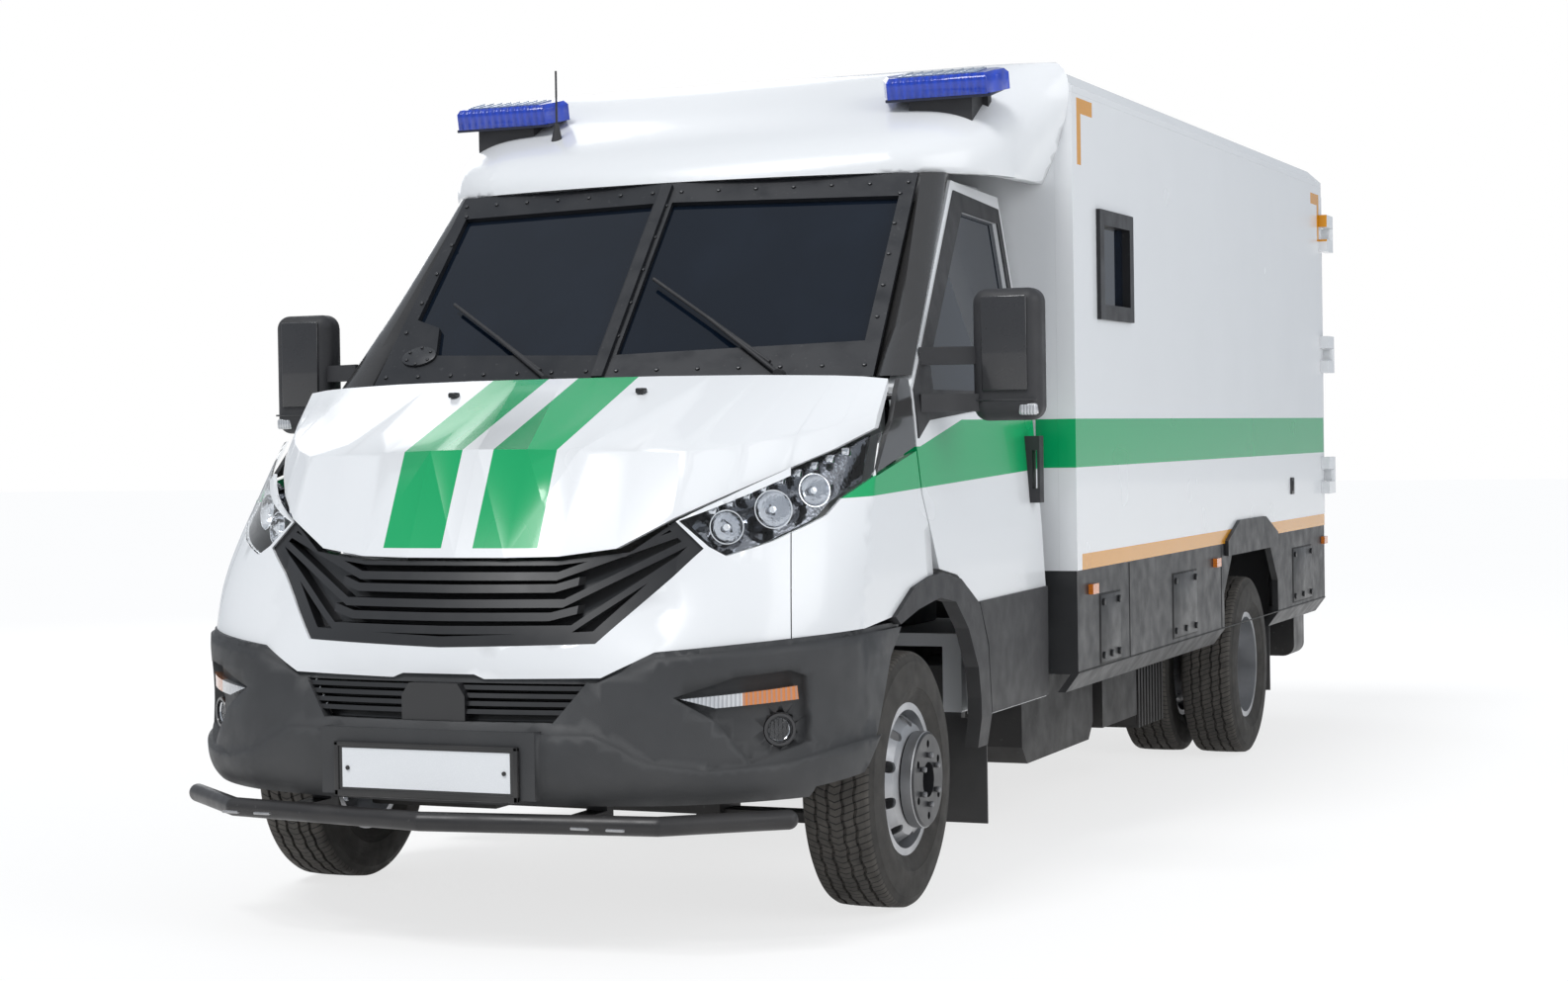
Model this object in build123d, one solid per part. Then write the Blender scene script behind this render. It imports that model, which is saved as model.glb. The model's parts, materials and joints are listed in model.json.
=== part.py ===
from build123d import *
import math
import os

os.makedirs("parts", exist_ok=True)

# Armored cash van: a cab with a bonnet, and a steel box body behind it.
# +Z is up, the van faces -Y and its left side is +X. Sizes are in millimetres.
# While it is built, y is measured from the front axle; every node is moved at the
# end so that the origin is at the middle of the van's length, on the ground.

# Driving sizes
cab_half_width = 1000.0
nose_reach = 1000.0
cab_reach = 1385.0
cowl_height = 1500.0
wheelbase = 4100.0
tyre_radius = 366.0
tyre_width = 222.0
body_half_width = 1090.0
body_length = 4286.0
body_base_z = 890.0
body_eave_z = 2457.0
body_roof_rise = 90.0
body_wall = 60.0
skirt_bottom_z = 490.0
front_reach = 1150.0
rear_reach = 5870.0

# Clearances and working sizes
seat_gap = 0.3
panel_gap = 8.0
running_gap = 0.08
overrun = 50.0
diagonal_share = 0.7

front_axle_y = (front_reach - rear_reach) / 2
body_front_y = cab_reach
body_rear_y = cab_reach + body_length
axle_z = tyre_radius

# Body panels of the cab
wing_skin = 14.0
bonnet_skin = 30.0
bumper_skin = 42.0
door_thickness = 70.0
shoulder_share = 0.60
corner_share = 0.88

# Values that several pieces share
bumper_band = 14.0
fog_bezel_radius = 46.0
filler_recess = 10.0
front_beam_depth = 60.0
bonnet_axis_y, bonnet_axis_z, bonnet_lug_x, hinge_pin_radius = -15.0, 1455.0, 918.0, 9.0
rail_x, rail_width, rail_height, rail_low_z = 375.0, 62.0, 170.0, 488.0
sill_low_share = 0.325
firewall_y_share = 0.095
frame_skin = 16.0
window_lean, window_sweep_share = 0.905, 0.140
fog_recess_depth = 30.0
pad_front_share, pad_half_share, pad_low_share, pad_high_share = 1.0826, 0.320, 0.273, 0.392
windscreen_foot_share = 1.012
cowl_bottom_share = 0.984
frame_front_y = -880.0
surround_stand = 5.0
kingpin_x = 735.0
front_track_half = 880.0
spindle_radius = 30.0
spindle_reach = 60.0
rear_outer_x, dual_spacing = 966.0, 262.0
rear_spindle_half = 1010.0
rim_seat_radius, rim_flange_radius, rim_half_width, rim_skin = 204.0, 221.0, 80.0, 7.0
side_window = (1691.0, 2104.0, 1740.0, 2077.0)
rear_hinge_x, rear_hinge_y = 1112.0, 5760.0
front_dish, rear_dish = 112.0, 100.0
cab_floor_z, dash_top_share, column_reach = 730.0, 0.965, 1.3
mirror_glass_share = 0.42
rim_step, rim_join = 16.0, 78.0
plate_wall_share, plate_round_share, plate_bolt_share = 0.8, 0.2, 0.7
roof_step_share, roof_fold_share = 0.25, 0.88
corner_box_rise, lamp_setback, rear_overhang = 40.0, 90.0, 1440.0


def cab_y(share):
    """Turn a share along the cab into a distance from the front axle."""
    return share * (nose_reach if share < 0 else cab_reach)


def cab_point(x, y, z):
    """Place a point of the cab from its shares of width, reach and height."""
    return Vector(x * cab_half_width, cab_y(y), z * cowl_height)


def block(x0, x1, y0, y1, z0, z1):
    """A box between two corners."""
    return Pos((x0 + x1) / 2, (y0 + y1) / 2, (z0 + z1) / 2) * Box(x1 - x0, y1 - y0, z1 - z0)


def both_sides(shape):
    """The shape and its mirror image on the other side of the van."""
    return [shape, mirror(shape, about=Plane.YZ)]


def prism(points, direction, reach, both=True):
    """A prism along a level direction, through points seen along that direction."""
    along = Vector(*direction).normalized()
    flat = [point - along * point.dot(along) for point in points]
    face = make_face(Polyline(flat, close=True))
    return extrude(face, amount=reach, dir=along, both=both)


def front_region(points):
    """What lies within an outline of x and z shares, seen from the front."""
    return prism([cab_point(x, 0, z) for x, z in points], (0, 1, 0), nose_reach + front_reach)


def mirrored_outline(points):
    """Close an outline of x and z shares, given for the left half, with its mirror image."""
    return points + [(-x, z) for x, z in reversed(points) if x > 0]


def side_region(points):
    """What lies within an outline of y and z shares, seen from the left side."""
    return prism([cab_point(0, y, z) for y, z in points], (1, 0, 0), body_half_width + overrun, both=False)


def corner_region(points):
    """What lies within an outline of x, y and z shares, seen from the front left corner."""
    shape = prism([cab_point(*point) for point in points], (1, -1, 0), nose_reach + front_reach)
    return shape & block(0, 2 * body_half_width, -2 * nose_reach, cab_reach, 0, body_eave_z)


def cylinder_between(start, end, radius):
    """A round bar from one point to another."""
    start, end = Vector(*start), Vector(*end)
    plane = Plane(origin=start, z_dir=(end - start).normalized())
    return extrude(plane * Circle(radius), amount=(end - start).length)


def ring_along_x(outline_points, centre_x, centre_y, centre_z):
    """Turn an outline of distances along and radii round a level cross axis."""
    points = [(centre_x + along, centre_y, centre_z + radius) for along, radius in outline_points]
    face = make_face(Polyline(points, close=True))
    return revolve(face, Axis((0, centre_y, centre_z), (1, 0, 0)), 360)


def save(name, *shapes):
    """Write one node, moved to the shared frame."""
    solids = []
    for shape in shapes:
        items = shape if isinstance(shape, (list, tuple)) else [shape]
        for item in items:
            solids.extend(item.solids())
    placed = [Pos(0, front_axle_y, 0) * solid for solid in solids]
    node = placed[0] if len(placed) == 1 else Compound(label=name, children=placed)
    export_step(node, f"parts/{name}.step")


# The cab's side, from the sill to the roof: height share and half width share.
side_shares = [
    (0.262, 0.985),
    (0.323, 1.000),
    (0.563, 1.003),
    (0.700, 0.992),
    (0.833, 0.978),
    (0.933, 0.966),
    (0.990, 0.957),
    (1.440, 0.848),
]


def side_half_width(z):
    """The cab's half width share at a height share."""
    for (z0, x0), (z1, x1) in zip(side_shares, side_shares[1:]):
        if z <= z1:
            return x0 + (x1 - x0) * (max(z, z0) - z0) / (z1 - z0)
    return side_shares[-1][1]


def side_shell(outset, thickness, y0, y1):
    """The cab's left side wall between two stations, its face moved out by the outset."""
    outer = [Vector(x * cab_half_width + outset, y0, z * cowl_height) for z, x in side_shares]
    inner = [point - Vector(thickness, 0, 0) for point in reversed(outer)]
    return extrude(make_face(Polyline(outer + inner, close=True)), amount=y1 - y0, dir=(0, 1, 0))


def plan_face(section, inset, back):
    """A level section of the nose: straight sides, round corners and a bowed front."""
    z, centre, shoulder, corner, side = section
    half = side_half_width(z) * cab_half_width - inset
    height = z * cowl_height
    slant = inset * diagonal_share
    left = [
        Vector(half, back, height),
        Vector(half, side * nose_reach, height),
        Vector(corner_share * cab_half_width - slant, corner * nose_reach + slant, height),
        Vector(shoulder_share * cab_half_width, shoulder * nose_reach + inset, height),
    ]
    front = Vector(0, centre * nose_reach + inset, height)
    right = [Vector(-point.X, point.Y, point.Z) for point in left]
    return make_face([
        Line(left[0], left[1]),
        ThreePointArc(left[1], left[2], left[3]),
        ThreePointArc(left[3], front, right[3]),
        ThreePointArc(right[3], right[2], right[1]),
        Line(right[1], right[0]),
        Line(right[0], left[0]),
    ])


def nose_mass(sections, inset, back_share):
    """The solid inside the nose, its skin moved in by the inset."""
    back = back_share * cab_reach + inset
    return loft([plan_face(section, inset, back) for section in sections])


# Level sections of the nose and wings: height, then how far ahead the centre, the
# shoulder, the corner and the start of the side lie, all as shares.
nose_shares = [
    (0.427, -1.000, -0.925, -0.735, -0.430),
    (0.531, -1.004, -0.905, -0.720, -0.430),
    (0.686, -0.906, -0.785, -0.615, -0.390),
    (0.758, -0.851, -0.755, -0.530, -0.330),
    (0.833, -0.795, -0.690, -0.430, -0.260),
    (0.940, -0.560, -0.480, -0.210, -0.110),
]

# Level sections of the bumper, with the same columns.
bumper_shares = [
    (0.262, -1.050, -0.945, -0.690, -0.430),
    (0.292, -1.062, -0.975, -0.740, -0.430),
    (0.392, -1.058, -0.968, -0.745, -0.430),
    (0.450, -1.030, -0.950, -0.742, -0.430),
    (0.560, -1.004, -0.925, -0.735, -0.430),
]

nose_back_share = 0.12


def nose_skin(outset, thickness):
    """The wall of the nose and wings."""
    return nose_mass(nose_shares, -outset, nose_back_share) - nose_mass(
        nose_shares, thickness - outset, 2 * nose_back_share)


def bumper_layer(outset, thickness):
    """A wall that follows the bumper's face."""
    return nose_mass(bumper_shares, -outset, 0) - nose_mass(bumper_shares, thickness - outset, nose_back_share)


# Outlines on the nose, as shares. Seen from the front they are x and z.
grille_outline = mirrored_outline([
    (0.000, 0.684), (0.300, 0.684), (0.481, 0.698), (0.590, 0.752), (0.668, 0.703),
    (0.435, 0.541), (0.000, 0.533),
])
grille_inner_outline = mirrored_outline([
    (0.000, 0.676), (0.290, 0.676), (0.470, 0.690), (0.575, 0.736), (0.622, 0.706),
    (0.420, 0.562), (0.000, 0.552),
])
white_lower_outline = mirrored_outline([
    (0.000, 0.487), (0.108, 0.487), (0.138, 0.479), (0.460, 0.483), (0.595, 0.527),
    (1.100, 0.556), (1.100, 1.100), (0.000, 1.100),
])
bonnet_below_outline = mirrored_outline([
    (0.000, 0.400), (0.000, 0.684), (0.300, 0.684), (0.481, 0.696), (0.594, 0.752),
    (0.700, 0.792), (0.800, 0.834), (0.952, 0.905), (1.100, 0.935), (1.100, 0.400),
])
bumper_top_outline = mirrored_outline([
    (0.000, 0.474), (0.450, 0.474), (0.590, 0.516), (1.100, 0.546), (1.100, 0.200), (0.000, 0.200),
])
lower_opening_outline = mirrored_outline([
    (0.000, 0.500), (0.440, 0.500), (0.420, 0.470), (0.345, 0.405), (0.000, 0.405),
])

wing_rear_outline = [(-0.262, 0.822), (0.072, 0.866), (0.083, 0.783), (0.154, 0.640), (0.154, 0.300),
                     (0.500, 0.300), (0.500, 1.200), (-0.245, 1.200)]
arch_closing_outline = [(-0.655, 0.262), (-0.655, 0.540)]
filler_outline = mirrored_outline([
    (0.000, 0.487), (0.108, 0.487), (0.138, 0.479), (0.460, 0.483), (0.595, 0.527), (1.100, 0.556),
    (1.100, 0.544), (0.590, 0.514), (0.450, 0.472), (0.000, 0.472),
])
bumper_band_outline = mirrored_outline([
    (0.000, 0.388), (0.460, 0.386), (0.600, 0.338), (0.740, 0.322), (0.900, 0.330), (1.100, 0.372),
    (1.100, 0.200), (0.000, 0.200),
])
# Outlines at the front left corner, as x, y and z shares.
headlamp_outline = [
    (0.597, -0.756, 0.752), (0.955, -0.159, 0.905), (0.974, -0.277, 0.821), (0.935, -0.419, 0.784),
    (0.919, -0.488, 0.755), (0.812, -0.637, 0.713), (0.714, -0.725, 0.689), (0.672, -0.740, 0.706),
]
fog_recess_outline = [
    (0.627, -0.909, 0.449), (0.780, -0.830, 0.482), (0.890, -0.718, 0.490), (0.922, -0.676, 0.478),
    (0.930, -0.665, 0.362), (0.811, -0.812, 0.330), (0.735, -0.866, 0.406),
]
indicator_outline = [
    (0.648, -0.900, 0.446), (0.908, -0.701, 0.461), (0.912, -0.698, 0.437), (0.725, -0.852, 0.429),
]

# Outlines on the cab's side, as y and z shares.
arch_outer_outline = [
    (-0.215, 0.561), (-0.044, 0.609), (0.080, 0.625), (0.153, 0.629), (0.282, 0.611),
    (0.403, 0.555), (0.462, 0.467), (0.486, 0.333), (0.486, 0.262),
]
arch_inner_outline = [
    (-0.175, 0.546), (-0.020, 0.567), (0.131, 0.582), (0.235, 0.568), (0.322, 0.510),
    (0.392, 0.427), (0.410, 0.364), (0.416, 0.262),
]
bumper_rear_outline = [
    (-0.120, 0.700), (-0.127, 0.545), (-0.227, 0.489), (-0.338, 0.357), (-0.459, 0.293),
    (-0.655, 0.281), (-0.655, 0.200), (-2.000, 0.200), (-2.000, 0.700),
]
door_outline = [
    (0.079, 0.990), (0.079, 0.876), (0.090, 0.783), (0.162, 0.636), (0.282, 0.619), (0.409, 0.562),
    (0.470, 0.470), (0.494, 0.335), (0.494, 0.323), (0.947, 0.323), (0.947, 1.000), (0.955, 1.412),
    (0.604, 1.426),
]
window_outline = [
    (0.225, 1.040), (0.215, 0.985), (0.895, 0.985), (0.905, 1.352), (0.640, 1.362),
]
surround_outline = [
    (0.090, 0.985), (0.090, 0.890), (0.170, 0.925), (0.925, 0.968), (0.935, 1.385), (0.606, 1.405),
]
cladding_outline = [
    (0.411, 0.558), (0.474, 0.470), (0.497, 0.335), (0.497, 0.326), (0.944, 0.326), (0.944, 0.563),
]
cowl_side_outline = [
    (-0.254, 0.829), (-0.135, 0.900), (-0.085, 0.925), (-0.010, 0.985), (0.020, 1.005),
    (0.072, 1.005), (0.072, 0.876),
]


def make_bonnet():
    """The bonnet, a bowed shell with a crease across it."""
    # x, then y and z of the lip, the crease and the rear edge, as shares
    half_shares = [
        (0.000, -0.906, 0.690, -0.756, 0.884, -0.207, 1.018),
        (0.150, -0.900, 0.690, -0.752, 0.883, -0.203, 1.018),
        (0.300, -0.878, 0.692, -0.738, 0.880, -0.190, 1.018),
        (0.450, -0.836, 0.705, -0.712, 0.876, -0.168, 1.017),
        (0.590, -0.764, 0.758, -0.662, 0.876, -0.140, 1.016),
        (0.700, -0.625, 0.800, -0.540, 0.887, -0.118, 1.014),
        (0.800, -0.470, 0.840, -0.400, 0.901, -0.095, 1.012),
        (0.880, -0.325, 0.874, -0.272, 0.918, -0.072, 1.009),
        (0.945, -0.172, 0.911, -0.145, 0.938, -0.052, 1.004),
    ]
    rows = [(-row[0], *row[1:]) for row in reversed(half_shares[1:])] + half_shares
    faces = []
    for x, lip_y, lip_z, crease_y, crease_z, rear_y, rear_z in rows:
        outer = [cab_point(x, lip_y, lip_z), cab_point(x, crease_y, crease_z), cab_point(x, rear_y, rear_z)]
        slant = Vector(0, bonnet_skin * diagonal_share, -bonnet_skin * diagonal_share)
        inner = [outer[0] + Vector(0, bonnet_skin, 0), outer[1] + slant, outer[2] - Vector(0, 0, bonnet_skin)]
        faces.append(make_face([
            Line(outer[0], outer[1]), Line(outer[1], outer[2]), Line(outer[2], inner[2]),
            Line(inner[2], inner[1]), Line(inner[1], inner[0]), Line(inner[0], outer[0]),
        ]))
    lug_width, lug_reach, lug_rise = 18.0, 48.0, 34.0
    lug = block(bonnet_lug_x - lug_width, bonnet_lug_x, bonnet_axis_y - lug_reach, bonnet_axis_y,
                bonnet_axis_z - hinge_pin_radius, bonnet_axis_z + lug_rise)
    eye = cylinder_between((bonnet_lug_x - lug_width, bonnet_axis_y, bonnet_axis_z),
                           (bonnet_lug_x, bonnet_axis_y, bonnet_axis_z), hinge_pin_radius)
    body = loft(faces, ruled=True)
    for piece in both_sides(lug + eye):
        body = body + piece
    return body


def left_half(shape):
    """The left half of a shape."""
    return shape & block(0, 2 * body_half_width, -2 * nose_reach, cab_reach, 0, body_eave_z)


def rejoin(half):
    """A left half joined to its mirror image."""
    return half + mirror(half, about=Plane.YZ)


def make_nose_and_wings():
    """The white nose below the grille and the left wing; the lamps are cut out."""
    split_width = 3.0
    split_x_share, split_y_share, split_turn = 0.872, -0.650, 0.35
    skin = left_half(nose_skin(0, wing_skin))
    skin = skin & front_region(white_lower_outline)
    skin = skin & front_region(bonnet_below_outline)
    skin = skin - front_region(grille_outline) - corner_region(headlamp_outline)
    skin = skin - side_region(wing_rear_outline) - side_region(arch_outer_outline + arch_closing_outline)
    split = Plane(origin=cab_point(split_x_share, split_y_share, 0), z_dir=(1, split_turn, 0))
    skin = skin - extrude(split * Rectangle(nose_reach, 2 * cowl_height), amount=split_width)
    pieces = sorted(skin.solids(), key=lambda piece: piece.volume, reverse=True)[:2]
    pieces.sort(key=lambda piece: piece.bounding_box().min.X)
    return rejoin(pieces[0]), pieces[1]


def make_grille():
    """The black front grille: a rim, a back plate and slats that sweep up to the lamps."""
    recess = 10.0
    slat_depth = 42.0
    plate_depth = 8.0
    depth = slat_depth + plate_depth
    slat_height_share = 0.0145
    zone = nose_skin(-recess, depth) & front_region(grille_outline)
    plate = nose_skin(-recess - slat_depth, plate_depth) & front_region(grille_outline)
    body = plate + (zone - front_region(grille_inner_outline))
    # z at the centre, x and z where the slat turns up, x and z at its tip, as shares
    slat_shares = [
        (0.650, 0.300, 0.650, 0.620, 0.728),
        (0.628, 0.300, 0.629, 0.360, 0.641),
        (0.602, 0.330, 0.603, 0.650, 0.716),
        (0.579, 0.300, 0.580, 0.370, 0.592),
        (0.556, 0.360, 0.558, 0.655, 0.703),
    ]
    for z, turn_x, turn_z, tip_x, tip_z in slat_shares:
        upper = [(0.000, z + slat_height_share), (turn_x, turn_z + slat_height_share),
                 (tip_x, tip_z + slat_height_share)]
        lower = [(tip_x, tip_z), (turn_x, turn_z), (0.000, z)]
        body = body + (zone & front_region(mirrored_outline(upper + lower)))
    return body


def make_bumper():
    """The bumper shell with its pad, lower band, fog lamp recesses and air opening."""
    shell = bumper_layer(0, bumper_skin)
    band = bumper_layer(bumper_band, bumper_band + bumper_skin / 2)
    shell = shell + (band & front_region(bumper_band_outline))
    shell = left_half(shell & front_region(bumper_top_outline)) & side_region(bumper_rear_outline)
    recess = bumper_layer(2 * bumper_band, 2 * bumper_band + fog_recess_depth)
    shell = shell - front_region(lower_opening_outline) - (recess & corner_region(fog_recess_outline))
    pad_front = -pad_front_share * nose_reach
    pad = block(0, pad_half_share * cab_half_width, pad_front, pad_front + bumper_skin,
                pad_low_share * cowl_height, pad_high_share * cowl_height)
    lamp_face, facing = fog_lamp_place()
    socket = cylinder_between(lamp_face + facing * overrun, lamp_face - facing * 2 * overrun,
                              fog_bezel_radius + seat_gap)
    shell = largest(shell + pad) - socket
    filler = bumper_layer(-filler_recess, wing_skin + filler_recess / 2) & front_region(filler_outline)
    shell = shell + (left_half(filler) & side_region(bumper_rear_outline))
    bracket_x, bracket_width, bracket_low_z, bracket_high_z = 410.0, 60.0, 500.0, 570.0
    mount = block(bracket_x - bracket_width / 2, bracket_x + bracket_width / 2,
                  frame_front_y - front_beam_depth - bracket_width, frame_front_y - front_beam_depth - seat_gap,
                  bracket_low_z, bracket_high_z)
    return rejoin(shell + mount)


def fog_lamp_place():
    """The middle of the left fog lamp's face, and the way it faces."""
    x_share, y_share, z_share = 0.873, -0.738, 0.385
    facing = Vector(0.62, -0.78, 0).normalized()
    return cab_point(x_share, y_share, z_share) - facing * bumper_band, facing


def make_bumper_lower_grille():
    """The slatted opening in the bumper with the square sensor cover at its middle."""
    back_recess, back_depth = 50.0, 6.0
    slat_depth, slat_height = 40.0, 12.0
    slat_count = 4
    back = bumper_layer(-back_recess, back_depth) & front_region(lower_opening_outline)
    back = back & front_region(bumper_top_outline)
    low, high = lower_opening_outline[4][1] * cowl_height, bumper_top_outline[0][1] * cowl_height
    zone = bumper_layer(-back_recess + slat_depth, slat_depth + back_depth) & front_region(lower_opening_outline)
    body = back
    for index in range(slat_count):
        z = low + (high - low) * (index + 1) / (slat_count + 1)
        body = body + (zone & block(-cab_half_width, cab_half_width, -2 * nose_reach, 0, z, z + slat_height))
    cover_half_share, cover_low_share, cover_high_share, cover_front_share = 0.095, 0.4055, 0.4715, 1.040
    cut_share = 0.022
    cover_outline = mirrored_outline([
        (0.000, cover_high_share), (cover_half_share - cut_share, cover_high_share),
        (cover_half_share, cover_high_share - cut_share), (cover_half_share, cover_low_share),
        (0.000, cover_low_share),
    ])
    front = -cover_front_share * nose_reach
    cover = front_region(cover_outline) & block(-cab_half_width, cab_half_width, front, front + back_recess,
                                                0, cowl_height)
    return body + cover


def make_headlamps():
    """The clear lamp covers, and behind them the housings with their reflector bowls."""
    lens_skin = 5.0
    housing_wall = 8.0
    housing_depth = 62.0
    inset = 2.0
    lens = nose_skin(-inset, lens_skin) & corner_region(headlamp_outline)
    body = nose_skin(-inset - lens_skin - seat_gap, housing_depth) & corner_region(headlamp_outline)
    # x, y and z shares of each reflector bowl's mouth, and its radius
    bowls = [(0.735, -0.690, 0.735, 46.0), (0.845, -0.540, 0.775, 44.0), (0.905, -0.400, 0.812, 34.0)]
    cut = None
    facing = Vector(1, -1, 0).normalized()
    for x, y, z, radius in bowls:
        mouth = cab_point(x, y, z)
        bowl = cylinder_between(mouth + facing * housing_depth, mouth - facing * housing_wall, radius)
        cut = bowl if cut is None else cut + bowl
    body = body - cut - front_region(grille_outline)
    return left_half(lens).solids(), left_half(body).solids()


def make_bumper_lamps():
    """The indicator strips and the round fog lamps in the bumper's recesses."""
    strip_recess = 6.0
    strip = bumper_layer(-strip_recess, fog_recess_depth - strip_recess - seat_gap)
    strip = strip & corner_region(indicator_outline)
    fog_radius, fog_depth, lens_skin = 33.0, 34.0, 14.0
    face, facing = fog_lamp_place()
    lamp = cylinder_between(face, face - facing * fog_depth, fog_bezel_radius)
    lamp = lamp - cylinder_between(face, face - facing * lens_skin, fog_radius)
    lens = cylinder_between(face - facing * lens_skin / 2, face - facing * lens_skin, fog_radius)
    return strip, lamp + lens


def make_front_bar():
    """The tubular guard low across the front, with its two brackets."""
    bar_radius = 26.0
    bar_z = 350.0
    bar_centre_y = -(front_reach - bar_radius)
    bar_half_width = 910.0
    bend_x, bend_y = 640.0, -1020.0
    end_y = -790.0
    path = Polyline((-bar_half_width, end_y, bar_z), (-bend_x, bend_y, bar_z), (0, bar_centre_y, bar_z),
                    (bend_x, bend_y, bar_z), (bar_half_width, end_y, bar_z))
    bars = [cylinder_between(edge @ 0, edge @ 1, bar_radius) for edge in path.edges()]
    corners = [Pos(*(edge @ 1)) * Sphere(bar_radius) for edge in path.edges()[:-1]]
    tips = [Pos(*(path @ share)) * Sphere(bar_radius) for share in (0, 1)]
    body = bars[0]
    for piece in bars[1:] + corners + tips:
        body = body + piece
    bracket_x, bracket_width, bracket_height = 420.0, 60.0, 40.0
    bar_y = bar_centre_y + (bend_y - bar_centre_y) * bracket_x / bend_x
    for side in (-1, 1):
        x0, x1 = side * bracket_x - bracket_width / 2, side * bracket_x + bracket_width / 2
        body = body + block(x0, x1, bar_y, frame_front_y, bar_z - bracket_height / 2, bar_z + bracket_height / 2)
        body = body + block(x0, x1, frame_front_y - bracket_height, frame_front_y, bar_z - bracket_height / 2,
                            rail_low_z - seat_gap)
    return body


def window_plane_point(x, z):
    """A point on the left half of the split windscreen, from x and z shares."""
    foot_share = 0.011
    height = z * cowl_height
    y = foot_share * cab_reach + window_sweep_share * abs(x) * cab_half_width
    y = y + window_lean * (height - windscreen_foot_share * cowl_height)
    return Vector(x * cab_half_width, y, height)


def windscreen_slab(outline, setback, thickness):
    """A flat plate parallel to the left half of the windscreen."""
    points = [window_plane_point(x, z) for x, z in outline]
    normal = (points[1] - points[0]).cross(points[-1] - points[0]).normalized()
    if normal.Y < 0:
        normal = normal * -1
    points = [point + normal * setback for point in points]
    return extrude(make_face(Polyline(points, close=True)), amount=thickness, dir=normal)


def make_windscreen():
    """The bolted windscreen frame with its middle bar, and two flat panes behind it."""
    pane_skin = 34.0
    frame_outline = [(0.000, 1.012), (0.835, 1.012), (0.790, 1.438), (0.000, 1.438)]
    opening = [(0.032, 1.068), (0.780, 1.084), (0.752, 1.388), (0.032, 1.394)]
    notched = [(0.032, 1.068), (0.640, 1.080), (0.672, 1.140), (0.772, 1.160), (0.752, 1.388), (0.032, 1.394)]
    rim_share = 0.020
    left = left_half(windscreen_slab(frame_outline, 0, frame_skin)) - windscreen_slab(opening, -overrun, 2 * overrun)
    right = left_half(windscreen_slab(frame_outline, 0, frame_skin)) - windscreen_slab(notched, -overrun, 2 * overrun)
    pane_outline = [(rim_share / 2, 1.055), (0.795, 1.070), (0.768, 1.400), (rim_share / 2, 1.406)]
    pane = left_half(windscreen_slab(pane_outline, frame_skin + seat_gap, pane_skin))
    frame = left + mirror(right, about=Plane.YZ)
    bar_width, bar_depth = 36.0, 12.0
    foot, head = window_plane_point(0, 1.020), window_plane_point(0, 1.430)
    bar_plane = Plane(origin=foot, z_dir=(head - foot).normalized(), x_dir=(1, 0, 0))
    frame = frame + extrude(bar_plane * Rectangle(bar_width, 2 * bar_depth), amount=(head - foot).length)
    return frame, both_sides(pane)


def make_pillars():
    """The wide windscreen pillars, the black cowl sides below them and the cowl panel."""
    pillar_depth, bulge_share = 58.0, 0.028
    gap_share = 0.0012
    outline_shares = [(1.012, 0.1116, 0.098, 0.836, 0.951), (1.4398, 0.5264, 0.603, 0.791, 0.847)]
    faces = []
    for z, front_y, rear_y, front_x, rear_x in outline_shares:
        front = cab_point(front_x + gap_share, front_y, z)
        rear = cab_point(rear_x, rear_y, z)
        bulge = cab_point((front_x + rear_x) / 2, (front_y + rear_y) / 2 - bulge_share, z)
        inner_rear = rear + Vector(-pillar_depth, 0, 0)
        inner_front = front + Vector(-pillar_depth / 3, pillar_depth / 3, 0)
        faces.append(make_face([
            ThreePointArc(front, bulge, rear), Line(rear, inner_rear), Line(inner_rear, inner_front),
            Line(inner_front, front),
        ]))
    pillar = loft(faces)
    side = side_shell(0, wing_skin, cab_y(-0.300), cab_y(0.100)) & side_region(cowl_side_outline)
    pin = cylinder_between((bonnet_lug_x + seat_gap, bonnet_axis_y, bonnet_axis_z),
                           (side_half_width(bonnet_axis_z / cowl_height) * cab_half_width - wing_skin / 2,
                            bonnet_axis_y, bonnet_axis_z), hinge_pin_radius)
    pad_low_z, pad_high_z = 1330.0, 1450.0
    rear_y, door_y = cab_y(cowl_side_outline[-1][0]), cab_y(door_outline[0][0])
    pad_x = side_half_width(pad_high_z / cowl_height) * cab_half_width
    pad = block(pad_x - wing_skin, pad_x - seat_gap, rear_y - seat_gap, door_y - seat_gap, pad_low_z, pad_high_z)
    return pillar, side + pin + pad


def make_cowl_panel():
    """The black panel between the bonnet and the windscreen."""
    cowl_top_share = 1.000
    # x and y shares along the bonnet's rear edge, then along the windscreen's foot
    front = [(0.000, -0.192), (0.300, -0.176), (0.590, -0.126), (0.800, -0.078), (0.875, -0.006)]
    rear = [(0.875, 0.078), (0.835, 0.092), (0.000, 0.008)]
    points = [cab_point(x, y, cowl_bottom_share) for x, y in front + rear]
    panel = extrude(make_face(Polyline(points, close=True)),
                    amount=(cowl_top_share - cowl_bottom_share) * cowl_height, dir=(0, 0, 1))
    return rejoin(panel)


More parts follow.
